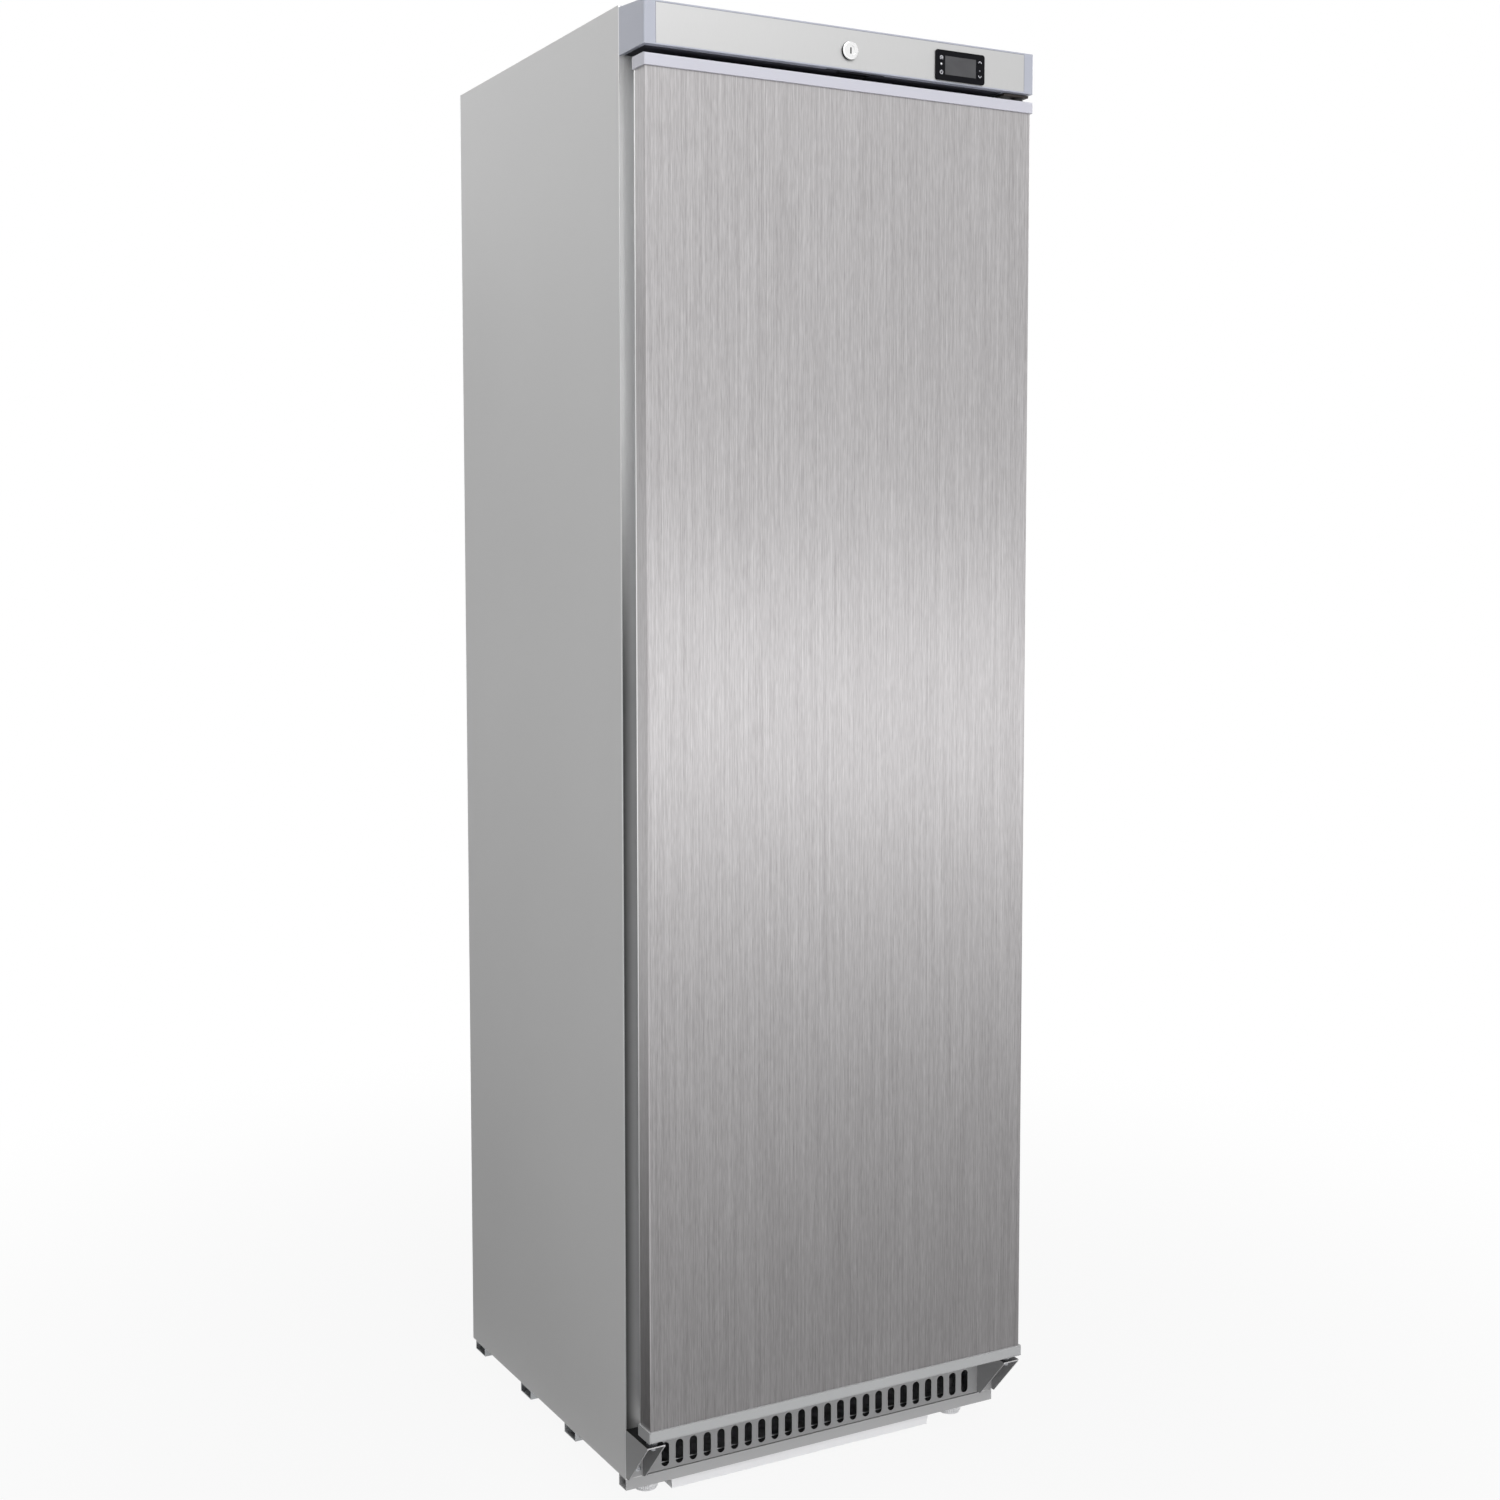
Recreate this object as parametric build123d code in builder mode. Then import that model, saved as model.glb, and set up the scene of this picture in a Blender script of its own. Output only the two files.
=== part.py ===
"""Upright one-door commercial refrigerator with a bottom condensing unit, in millimetres.

Origin: centre of the footprint on the floor. +X is to the right seen from the front, +Y goes to the
back and +Z is up. Every place is worked out from the driving dimensions below.
"""

import os

from build123d import *

os.makedirs("parts", exist_ok=True)

# Driving dimensions: the cabinet
overall_width = 600.0
cabinet_height = 1947.0
cabinet_depth = 531.0
door_stand_off = 69.0
lock_stand_out = 4.0
side_panel_bottom = 36.0
sheet = 1.0
front_return = 24.0
side_insulation = 39.5
ceiling_insulation = 102.5
floor_insulation = 48.5
back_insulation = 45.0
step_insulation = 45.0
liner_wall = 1.5
liner_flange = 18.0
duct_height = 59.0
machine_space_depth = 252.0
machine_space_height = 274.0
board_joint = 0.2

# Driving dimensions: the door
door_bottom = 112.0
door_height = 1762.0
door_shell_depth = 33.0
cap_height = 15.0
cap_front_wall = 3.0
cap_side_wall = 2.5
cap_end_wall = 3.0
cap_edge_round = 2.5
skin_return = 12.0
skin_bend = 2.0
plug_side_inset = 30.0
plug_top_inset = 16.0
plug_bottom_inset = 18.0
gasket_thickness = 12.0
gasket_width = 11.5
gasket_clearance = 0.3
plug_step = 20.0
plug_end_step = 24.0
plug_reach = 23.0
door_liner_wall = 1.5
door_liner_margin = 3.5
plug_corner = 12.0

# Driving dimensions: hinges and lock
hinge_side_inset = 14.0
hinge_face_inset = 19.0
hinge_pin_radius = 4.0
running_gap = 0.05
bush_radius = 7.5
bush_flange_radius = 8.5
bush_depth = 12.0
bush_flange = 4.0
bracket_width = 26.0
bracket_reach = 62.5
bracket_top = 104.5
bracket_thickness = 2.0
gusset_thickness = 1.5
bracket_bottom = 38.0
bracket_screw_low = 12.0
bracket_screw_high = 44.0
bracket_screw_stagger = 3.0
gusset_toe = 5.0
pin_below_bracket = 7.5
hinge_plate_thickness = 3.0
hinge_plate_width = 41.0
hinge_plate_upstand = 42.0
hinge_plate_gap = 1.0
hinge_plate_side_gap = 0.5
hinge_plate_margin = 3.0
hinge_screw_inset = 10.0
hinge_screw_rise = 24.0
bush_end_gap = 0.5
pin_end_gap = 1.0
lock_radius = 12.0
lock_shank_radius = 9.5
lock_barrel_radius = 6.5
lock_body_depth = 16.0
lock_height = 1908.5
key_slot_width = 2.0
key_slot_height = 8.0
key_slot_depth = 7.0
lock_rim_round = 2.0
lock_nut_margin = 3.0
lock_nut_height = 4.0
barrel_sink = 0.6
cam_gap = 0.5
cam_reach = 41.5
cam_width = 12.0
cam_thickness = 2.5
cam_spigot_radius = 4.0
cam_spigot_proud = 2.0
cam_slot_gap = 4.0
pocket_gap = 3.0
pocket_wall = 2.0

# Driving dimensions: control panel
fascia_gap = 10.5
fascia_front_height = 53.5
fascia_back_height = 59.5
fascia_wall = 2.5
fascia_corner = 3.0
fascia_open_back = 5.0
insert_side_margin = 16.0
insert_lip = 1.8
insert_thickness = 1.2
controller_x = 175.5
controller_z = 1907.0
bezel_width = 80.0
bezel_height = 39.5
bezel_thickness = 2.6
bezel_corner = 3.5
controller_width = 70.0
controller_height = 28.0
controller_depth = 52.0
cutout_gap = 0.3
window_width = 50.7
window_height = 24.7
window_thickness = 1.6
window_sink = 0.3
key_column = 31.6
key_row = 9.6
key_width = 7.0
key_height = 6.4
key_length = 5.0
key_proud = 0.3
key_travel = 0.8
key_gap = 0.2
key_corner = 1.2
key_end_gap = 0.4
bezel_edge_round = 0.8

# Driving dimensions: grille, base and feet
grille_bottom_gap = 1.5
slot_count = 24
slot_pitch = 21.4
first_slot_x = -241.0
slot_length = 33.0
slot_width = 11.5
slot_bottom = 41.5
grille_side_gap = 0.3
channel_height = 15.0
channel_depth = 20.5
tube_wall = 1.2
rail_height = 13.0
rail_width = 36.0
rail_front_edges = (157.0, 309.5, 483.5)
base_plate_thickness = 1.2
upstand_height = 6.8
upstand_setback = 7.0
upstand_left_inset = 25.0
upstand_right_end = 219.0
foot_radius = 17.0
foot_height = 22.0
foot_rib_radius = 0.9
foot_rib_count = 36
foot_sole = 3.0
stud_radius = 5.0
stud_top = 50.0
stud_hole_gap = 1.0
foot_side_inset = 48.5
front_foot_setback = 38.0
rear_foot_setback = 446.0
foot_plate_width = 50.0
foot_plate_depth = 34.0
foot_plate_thickness = 3.0
weld_nut_across = 17.0
weld_nut_height = 6.0

# Driving dimensions: drip tray
tray_left = -232.0
tray_width = 425.5
tray_depth = 330.0
tray_setback = 5.0
tray_bottom = 5.0
tray_top = 19.5
tray_wall = 1.6
tray_lip = 3.0
tray_lip_thickness = 1.5
tray_taper = 1.5
runner_gap = 0.4
runner_wall = 1.2
runner_setback = 62.0
runner_length = 280.0

# Driving dimensions: storage space
shelf_heights = (430.0, 730.0, 1030.0, 1330.0)
shelf_wire = 4.0
shelf_bar = 1.6
shelf_cross_bar = 2.4
shelf_weld = 0.8
shelf_side_gap = 3.0
shelf_front_setback = 37.0
shelf_depth = 430.0
shelf_corner = 14.0
shelf_bar_count = 19
clip_width = 14.0
clip_length = 26.0
clip_height = 9.0
clip_inset = 60.0
cover_width = 430.0
cover_height = 190.0
cover_depth = 112.0
cover_wall = 2.0
cover_drop = 8.0
cover_corner = 10.0
cover_slot_count = 12
cover_slot_pitch = 30.0
cover_slot_width = 18.0
cover_slot_length = 67.0
guard_margin = 4.0
guard_ring_count = 4
guard_wire = 1.5
fan_guard_gap = 4.0
fan_motor_gap = 2.0
motor_strap_width = 20.0
motor_strap_thickness = 3.0
cold_fan_radius = 70.0
cold_fan_depth = 26.0
cold_motor_radius = 28.0
cold_motor_length = 40.0
coil_width = 380.0
coil_height = 120.0
coil_depth = 24.0
coil_passes = 5
coil_fins = 24
fin_thickness = 0.8
coil_tube_radius = 4.8
coil_end_margin = 20.0
hairpin_straight = 6.0
hairpin_flat = 1.0
probe_side_inset = 30.0
probe_front_inset = 20.0
probe_radius = 3.0
probe_length = 40.0
drain_radius = 8.0
drain_wall = 1.5
drain_setback = 211.0
drain_flange = 5.0
drain_flange_thickness = 1.5
drain_tray_gap = 1.5
drain_hole_gap = 1.0

# Driving dimensions: machine space
compressor_radius = 82.0
compressor_height = 158.0
compressor_x = 150.0
compressor_setback = 400.0
compressor_base_width = 190.0
compressor_base_depth = 150.0
compressor_base_thickness = 3.0
compressor_base_corner = 12.0
compressor_dome_round = 40.0
compressor_seam_rise = 71.0
compressor_seam_height = 5.0
compressor_seam_proud = 3.0
grommet_radius = 13.0
grommet_height = 16.0
grommet_inset = 16.0
grommet_neck_radius = 5.0
grommet_head_radius = 8.0
grommet_head_height = 4.0
terminal_width = 58.0
terminal_depth = 16.0
terminal_height = 62.0
terminal_rise = 20.0
terminal_corner = 4.0
condenser_width = 230.0
condenser_height = 176.0
condenser_depth = 44.0
condenser_centre_x = -150.0
condenser_setback = 318.0
condenser_passes = 7
condenser_fins = 28
condenser_tube_radius = 4.8
warm_fan_radius = 82.0
warm_fan_depth = 28.0
warm_fan_gap = 16.0
warm_motor_gap = 3.0
warm_motor_edge = 4.0
warm_strap_setback = 9.0
warm_strap_width = 28.0
warm_foot_width = 60.0
warm_foot_depth = 21.0
warm_motor_radius = 36.0
warm_motor_length = 52.0
motor_shaft_radius = 3.0
fan_hub_radius = 16.0
fan_blades = 5
blade_thickness = 1.6
blade_pitch = 32.0
blade_root = 2.0
line_radius = 4.0
line_bend = 13.0
joint_gap = 0.2
discharge_height = 55.0
discharge_setback = 10.0
discharge_side_gap = 26.0
discharge_rear_gap = 40.0
discharge_top_gap = 14.0
suction_radius = 5.0
suction_bend = 10.0
suction_rise = 22.0
suction_right = 20.0
suction_left = 40.0
drier_radius = 11.0
drier_length = 90.0
drier_neck_round = 6.6
drier_side_inset = 60.0
drier_rise = 110.0
drier_overlap = 10.0
drier_line_radius = 3.0
capillary_radius = 2.0
rear_grille_setback = 22.0
rear_grille_fold = 14.0
rear_grille_bottom_gap = 2.0
rear_grille_top_gap = 1.0
rear_screw_inset = 20.0
rear_slot_length = 46.0
rear_slot_width = 6.0
rear_slot_columns = 9
rear_slot_rows = 12
rear_slot_pitch_x = 56.0
rear_slot_pitch_z = 16.0
gland_x = -235.0
gland_z = 62.0
gland_flange_radius = 14.0
gland_nose_radius = 10.0
gland_bore_radius = 4.2
gland_length = 20.0
gland_flange_thickness = 3.0

# Driving dimensions: screws
screw_radius = 2.2
screw_head_radius = 4.2
screw_head_height = 2.2

# Planes and faces that follow from the driving dimensions
half_width = overall_width / 2
overall_depth = cabinet_depth + door_stand_off + lock_stand_out
face_y = lock_stand_out - overall_depth / 2
front_y = face_y + door_stand_off
back_y = overall_depth / 2
inner_side = half_width - sheet
return_edge = half_width - front_return
liner_outer_x = inner_side - side_insulation
opening_x = liner_outer_x - liner_wall
lining_z = side_panel_bottom + duct_height
liner_floor_z = lining_z + sheet + floor_insulation
opening_bottom = liner_floor_z + liner_wall
liner_ceiling_z = cabinet_height - sheet - ceiling_insulation
opening_top = liner_ceiling_z - liner_wall
liner_back_y = back_y - sheet - back_insulation
machine_y = back_y - machine_space_depth
machine_top = side_panel_bottom + machine_space_height
step_y = machine_y - sheet - step_insulation
step_z = machine_top + sheet + step_insulation
base_top = side_panel_bottom + base_plate_thickness
door_top = door_bottom + door_height
shell_back = face_y + door_shell_depth
skin_face = face_y + cap_front_wall
skin_side = half_width - cap_side_wall
hinge_x = half_width - hinge_side_inset
hinge_y = face_y + hinge_face_inset


def block(x, y, z, mode=Mode.ADD):
    """A rectangular block between the two x, y and z values."""
    with Locations(((x[0] + x[1]) / 2, (y[0] + y[1]) / 2, (z[0] + z[1]) / 2)):
        Box(abs(x[1] - x[0]), abs(y[1] - y[0]), abs(z[1] - z[0]), mode=mode)


def post(x, y, z, radius, mode=Mode.ADD):
    """An upright round bar at x, y between the two z values."""
    with Locations((x, y, (z[0] + z[1]) / 2)):
        Cylinder(radius, abs(z[1] - z[0]), mode=mode)


def rod(x, y, z, radius, mode=Mode.ADD):
    """A round bar along Y at x, z between the two y values."""
    with Locations((x, (y[0] + y[1]) / 2, z)):
        Cylinder(radius, abs(y[1] - y[0]), rotation=(90, 0, 0), mode=mode)


def front_plane(y):
    """A drawing plane seen from the front: local x is X, local y is Z, extrusions come forward."""
    return Plane(origin=(0, y, 0), x_dir=(1, 0, 0), z_dir=(0, -1, 0))


def tube(points, radius, bend):
    """A round bar along straight runs joined by arcs of one bend radius."""
    with BuildLine() as route:
        FilletPolyline(*points, radius=bend)
    start = Plane(origin=route.line @ 0, z_dir=route.line % 0)
    with BuildSketch(start) as section:
        Circle(radius)
    sweep(sections=section.sketch, path=route.line)


def serpentine(x_span, y, z_start, pitch, passes):
    """Points of a flat coil of level passes, one above the other."""
    points = []
    for level in range(passes):
        ends = x_span if level % 2 == 0 else x_span[::-1]
        points += [(end, y, z_start + level * pitch) for end in ends]
    return points


def keep(piece, name):
    """Labels a finished piece and writes it."""
    piece.part.label = name
    export_step(piece.part, f"parts/{name}.step")


# Side panels: one folded sheet a side, with a return across the cabinet's front edge
for side, name in ((-1, "left_side_panel"), (1, "right_side_panel")):
    with BuildPart() as side_panel:
        panel_z = (side_panel_bottom, cabinet_height)
        block((side * inner_side, side * half_width), (front_y, back_y), panel_z)
        block((side * return_edge, side * half_width), (front_y, front_y + sheet), panel_z)
    keep(side_panel, name)

# Top panel, folded down in front as the header above the opening
with BuildPart() as top_panel:
    block((-inner_side, inner_side), (front_y + sheet, back_y), (cabinet_height - sheet, cabinet_height))
    block(
        (-return_edge, return_edge),
        (front_y, front_y + sheet),
        (opening_top + liner_flange, cabinet_height),
    )
keep(top_panel, "top_panel")

# Back panel, between the side panels and above the machine space
with BuildPart() as back_panel:
    block((-inner_side, inner_side), (back_y - sheet, back_y), (machine_top + sheet, cabinet_height - sheet))
keep(back_panel, "back_panel")

# Machine space lining: stepped sheet under the insulation, with the sill as its front fold
with BuildPart() as machine_space_lining:
    block((-inner_side, inner_side), (front_y + sheet, machine_y), (lining_z, lining_z + sheet))
    block((-inner_side, inner_side), (machine_y - sheet, machine_y), (lining_z, machine_top + sheet))
    block((-inner_side, inner_side), (machine_y - sheet, back_y), (machine_top, machine_top + sheet))
    block(
        (-return_edge + grille_side_gap, return_edge - grille_side_gap),
        (front_y, front_y + sheet),
        (lining_z, opening_bottom - liner_flange),
    )
    drain_y = front_y + drain_setback
    post(0, drain_y, (lining_z, lining_z + sheet), drain_radius + running_gap, mode=Mode.SUBTRACT)
keep(machine_space_lining, "machine_space_lining")

# Cabinet insulation: foam boards between the outer sheets and the liner
foam_front = front_y + liner_wall
with BuildPart() as cabinet_insulation:
    for side in (-1, 1):
        block(
            (side * liner_outer_x, side * inner_side),
            (foam_front, machine_y - sheet),
            (lining_z + sheet, cabinet_height - sheet),
        )
        block(
            (side * liner_outer_x, side * inner_side),
            (machine_y - sheet + board_joint, back_y - sheet),
            (machine_top + sheet, cabinet_height - sheet),
        )
    middle = (board_joint - liner_outer_x, liner_outer_x - board_joint)
    block(middle, (foam_front, back_y - sheet), (liner_ceiling_z, cabinet_height - sheet))
    block(middle, (liner_back_y, back_y - sheet), (step_z + board_joint, liner_ceiling_z - board_joint))
    block(middle, (foam_front, step_y), (lining_z + sheet, liner_floor_z))
    block(middle, (step_y + board_joint, machine_y - sheet), (lining_z + sheet, step_z))
    block(middle, (machine_y - sheet + board_joint, back_y - sheet), (machine_top + sheet, step_z))
    post(0, drain_y, (lining_z + sheet, liner_floor_z), drain_radius + running_gap, mode=Mode.SUBTRACT)
keep(cabinet_insulation, "cabinet_insulation")


def storage_outline(grow):
    """The storage space seen from the side, with the step over the machine space, grown outwards."""
    front = front_y
    floor = opening_bottom - grow
    step_front = step_y - liner_wall + grow
    step_top = step_z + liner_wall - grow
    rear = liner_back_y - liner_wall + grow
    ceiling = opening_top + grow
    Polyline(
        (front, floor),
        (step_front, floor),
        (step_front, step_top),
        (rear, step_top),
        (rear, ceiling),
        (front, ceiling),
        close=True,
    )


# Inner liner: one white moulding with the step and a flange round the opening
with BuildPart() as inner_liner:
    with BuildSketch(Plane.YZ):
        with BuildLine():
            storage_outline(liner_wall)
        make_face()
    extrude(amount=liner_outer_x, both=True)
    block(
        (-return_edge, return_edge),
        (front_y, front_y + liner_wall),
        (opening_bottom - liner_flange, opening_top + liner_flange),
    )
    with BuildSketch(Plane.YZ):
        with BuildLine():
            storage_outline(0)
        make_face()
    extrude(amount=opening_x, both=True, mode=Mode.SUBTRACT)
    post(0, drain_y, (liner_floor_z, opening_bottom), drain_radius + running_gap, mode=Mode.SUBTRACT)
keep(inner_liner, "inner_liner")

# Base plate with its front upstand, open for the drain and the foot studs
feet = {
    "front_left_foot": (-half_width + foot_side_inset, front_y + front_foot_setback),
    "front_right_foot": (half_width - foot_side_inset, front_y + front_foot_setback),
    "rear_left_foot": (-half_width + foot_side_inset, front_y + rear_foot_setback),
    "rear_right_foot": (half_width - foot_side_inset, front_y + rear_foot_setback),
}
with BuildPart() as base_plate:
    upstand_y = front_y + upstand_setback
    block((-inner_side, inner_side), (upstand_y, back_y - rear_grille_setback), (side_panel_bottom, base_top))
    block(
        (-half_width + upstand_left_inset, upstand_right_end),
        (upstand_y, upstand_y + base_plate_thickness),
        (side_panel_bottom, base_top + upstand_height),
    )
    post(0, drain_y, (side_panel_bottom, base_top), drain_radius + drain_hole_gap, mode=Mode.SUBTRACT)
    for foot_x, foot_y in feet.values():
        post(foot_x, foot_y, (side_panel_bottom, base_top), stud_radius + stud_hole_gap, mode=Mode.SUBTRACT)
keep(base_plate, "base_plate")


def cross_tube(y, height, depth):
    """A rectangular tube across the whole width, open at both ends, under the cabinet."""
    top = side_panel_bottom
    block((-half_width, half_width), (y, y + depth), (top - height, top))
    block(
        (-half_width, half_width),
        (y + tube_wall, y + depth - tube_wall),
        (top - height + tube_wall, top - tube_wall),
        mode=Mode.SUBTRACT,
    )


# Front base channel and the three rails behind it
with BuildPart() as front_base_channel:
    cross_tube(front_y, channel_height, channel_depth)
keep(front_base_channel, "front_base_channel")

with BuildPart() as base_rails:
    for setback in rail_front_edges:
        cross_tube(front_y + setback, rail_height, rail_width)
keep(base_rails, "base_rails")

# Foot plates with their weld nuts
plate_bottom = side_panel_bottom - foot_plate_thickness
with BuildPart() as foot_plates:
    for foot_x, foot_y in feet.values():
        block(
            (foot_x - foot_plate_width / 2, foot_x + foot_plate_width / 2),
            (foot_y - foot_plate_depth / 2, foot_y + foot_plate_depth / 2),
            (plate_bottom, side_panel_bottom),
        )
        with BuildSketch(Plane.XY.offset(plate_bottom - weld_nut_height)):
            with Locations((foot_x, foot_y)):
                RegularPolygon(weld_nut_across / 2, side_count=6, major_radius=False)
        extrude(amount=weld_nut_height)
        post(
            foot_x,
            foot_y,
            (plate_bottom - weld_nut_height, side_panel_bottom),
            stud_radius + running_gap,
            mode=Mode.SUBTRACT,
        )
keep(foot_plates, "foot_plates")

# Levelling feet: a ribbed round pad on a threaded stud
for name, (foot_x, foot_y) in feet.items():
    with BuildPart() as foot:
        post(foot_x, foot_y, (0, foot_sole), foot_radius - 2 * foot_rib_radius)
        with BuildSketch(Plane.XY.offset(foot_sole)):
            with Locations((foot_x, foot_y)):
                Circle(foot_radius - foot_rib_radius)
                with PolarLocations(foot_radius - foot_rib_radius, foot_rib_count):
                    Circle(foot_rib_radius)
        extrude(amount=foot_height - foot_sole)
        post(foot_x, foot_y, (foot_height, stud_top), stud_radius)
    keep(foot, name)

# Front grille: a flat sheet with a row of upright slots
grille_bottom = side_panel_bottom + grille_bottom_gap
slots = [(first_slot_x + n * slot_pitch, slot_bottom + slot_length / 2) for n in range(slot_count)]
with BuildPart() as front_grille:
    with BuildSketch(front_plane(front_y + sheet)):
        with Locations((0, (grille_bottom + lining_z) / 2)):
            Rectangle(2 * (return_edge - grille_side_gap), lining_z - grille_bottom)
        with Locations(*slots):
            SlotOverall(slot_length, slot_width, rotation=90, mode=Mode.SUBTRACT)
    extrude(amount=sheet)
keep(front_grille, "front_grille")

# Lower hinge brackets: one on each side, so that the door can be hung either way
bracket_face = front_y - bracket_thickness
gusset_top = bracket_top - bracket_thickness
bracket_screws = [
    (half_width - bracket_width / 2 - bracket_screw_stagger, bracket_bottom + bracket_screw_low),
    (half_width - bracket_width / 2 + bracket_screw_stagger, bracket_bottom + bracket_screw_high),
]
with BuildPart() as lower_hinge_brackets:
    for side in (-1, 1):
        inner_edge = half_width - bracket_width
        bracket_x = (side * inner_edge, side * half_width)
        block(bracket_x, (bracket_face, front_y), (bracket_bottom, bracket_top))
        block(bracket_x, (front_y - bracket_reach, front_y), (gusset_top, bracket_top))
        for edge in (inner_edge, half_width - gusset_thickness):
            near = min(side * edge, side * (edge + gusset_thickness))
            with BuildSketch(Plane.YZ.offset(near)):
                with BuildLine():
                    Polyline(
                        (bracket_face, bracket_bottom),
                        (bracket_face - gusset_toe, bracket_bottom),
                        (front_y - bracket_reach, gusset_top),
                        (bracket_face, gusset_top),
                        close=True,
                    )
                make_face()
            extrude(amount=gusset_thickness)
        post(side * hinge_x, hinge_y, (gusset_top, bracket_top), hinge_pin_radius, mode=Mode.SUBTRACT)
        for screw_x, screw_z in bracket_screws:
            rod(side * screw_x, (bracket_face, front_y), screw_z, screw_radius, mode=Mode.SUBTRACT)
keep(lower_hinge_brackets, "lower_hinge_brackets")

# Top hinge plate: folded, fixed to the header and carrying the upper pin
fascia_bottom = door_top + fascia_gap
hinge_plate_top = fascia_bottom - hinge_plate_gap
hinge_plate_bottom = hinge_plate_top - hinge_plate_thickness
plate_right = half_width - fascia_wall - hinge_plate_side_gap
plate_x = (plate_right - hinge_plate_width, plate_right)
upper_screw_z = hinge_plate_top + hinge_screw_rise
upper_screws = [(x, upper_screw_z) for x in (plate_x[0] + hinge_screw_inset, plate_x[1] - hinge_screw_inset)]
with BuildPart() as top_hinge_plate:
    plate_front = hinge_y - bush_flange_radius - hinge_plate_margin
    block(plate_x, (plate_front, front_y), (hinge_plate_bottom, hinge_plate_top))
    block(
        plate_x,
        (front_y - hinge_plate_thickness, front_y),
        (hinge_plate_bottom, hinge_plate_bottom + hinge_plate_upstand),
    )
    post(hinge_x, hinge_y, (hinge_plate_bottom, hinge_plate_top), hinge_pin_radius, mode=Mode.SUBTRACT)
    for screw_x, screw_z in upper_screws:
        rod(screw_x, (front_y - hinge_plate_thickness, front_y), screw_z, screw_radius, mode=Mode.SUBTRACT)
keep(top_hinge_plate, "top_hinge_plate")

# Hinge pins: upper and lower, and the spare in the free side's bracket under the door's corner
lower_collar_top = door_bottom - bush_flange - running_gap
upper_pin_bottom = door_top - bush_depth + pin_end_gap
lower_pin_top = door_bottom + bush_depth - pin_end_gap
with BuildPart() as hinge_pins:
    post(hinge_x, hinge_y, (gusset_top - pin_below_bracket, lower_pin_top), hinge_pin_radius)
    post(hinge_x, hinge_y, (bracket_top, lower_collar_top), bush_flange_radius)
    post(hinge_x, hinge_y, (upper_pin_bottom, hinge_plate_top), hinge_pin_radius)
    post(-hinge_x, hinge_y, (gusset_top - pin_below_bracket, bracket_top), hinge_pin_radius)
    post(-hinge_x, hinge_y, (bracket_top, lower_collar_top), bush_flange_radius)
keep(hinge_pins, "hinge_pins")

# Hinge bushes in the door's caps
with BuildPart() as hinge_bushes:
    upper_flange_top = hinge_plate_bottom - bush_end_gap
    post(hinge_x, hinge_y, (door_bottom - bush_flange, door_bottom), bush_flange_radius)
    post(hinge_x, hinge_y, (door_bottom, door_bottom + bush_depth), bush_radius)
    post(hinge_x, hinge_y, (door_top, upper_flange_top), bush_flange_radius)
    post(hinge_x, hinge_y, (door_top - bush_depth, door_top), bush_radius)
    bore = hinge_pin_radius + running_gap
    post(hinge_x, hinge_y, (door_bottom - bush_flange, door_bottom + bush_depth), bore, mode=Mode.SUBTRACT)
    post(hinge_x, hinge_y, (door_top - bush_depth, upper_flange_top), bore, mode=Mode.SUBTRACT)
keep(hinge_bushes, "hinge_bushes")

# Control panel housing: a plastic moulding, open at the back, with a recess for the steel insert
fascia_top_front = fascia_bottom + fascia_front_height
insert_x = half_width - insert_side_margin
cutout_width = controller_width + 2 * cutout_gap
cutout_height = controller_height + 2 * cutout_gap
insert_z = (fascia_bottom + insert_lip, fascia_top_front - insert_lip)
cam_front = face_y + lock_body_depth + cam_gap
cam_y = (cam_front, cam_front + cam_thickness)
cam_tip_radius = (cam_reach**2 + (cam_width / 2) ** 2) ** 0.5


def cam_swing(drop):
    """How far to the side the turning cam still reaches at a drop below the lock's axis."""
    return max(cam_tip_radius**2 - drop**2, 0) ** 0.5



def fascia_outline(wall, back):
    """The control panel seen from the side, drawn in by a wall; its top slopes down to the front."""
    slope = (fascia_back_height - fascia_front_height) / door_stand_off
    Polyline(
        (face_y + wall, fascia_bottom + wall),
        (back, fascia_bottom + wall),
        (back, fascia_top_front + slope * (back - face_y) - wall),
        (face_y + wall, fascia_top_front + slope * wall - wall),
        close=True,
    )


with BuildPart() as fascia_housing:
    with BuildSketch(Plane.YZ):
        with BuildLine():
            fascia_outline(0, front_y)
        make_face()
    extrude(amount=half_width, both=True)
    front_corners = fascia_housing.edges().filter_by(Axis.Z).group_by(Axis.Y)[0]
    fillet(front_corners, radius=fascia_corner)
    with BuildSketch(Plane.YZ):
        with BuildLine():
            fascia_outline(fascia_wall, front_y)
        make_face()
    extrude(amount=half_width - fascia_wall, both=True, mode=Mode.SUBTRACT)
    block(
        (fascia_wall - half_width, half_width - fascia_wall),
        (front_y - fascia_open_back, front_y),
        (fascia_bottom, fascia_bottom + fascia_wall),
        mode=Mode.SUBTRACT,
    )
    block((-insert_x, insert_x), (face_y, face_y + insert_thickness), insert_z, mode=Mode.SUBTRACT)
    rod(0, (face_y, face_y + fascia_wall), lock_height, lock_shank_radius, mode=Mode.SUBTRACT)
    block(
        (-cam_width / 2 - cam_slot_gap, cam_swing(lock_height - fascia_bottom - fascia_wall) + cam_slot_gap),
        (cam_y[0] - cam_slot_gap, cam_y[1] + cam_slot_gap),
        (fascia_bottom, fascia_bottom + fascia_wall),
        mode=Mode.SUBTRACT,
    )
    block(
        (controller_x - cutout_width / 2, controller_x + cutout_width / 2),
        (face_y, face_y + fascia_wall),
        (controller_z - cutout_height / 2, controller_z + cutout_height / 2),
        mode=Mode.SUBTRACT,
    )
keep(fascia_housing, "fascia_housing")

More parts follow.
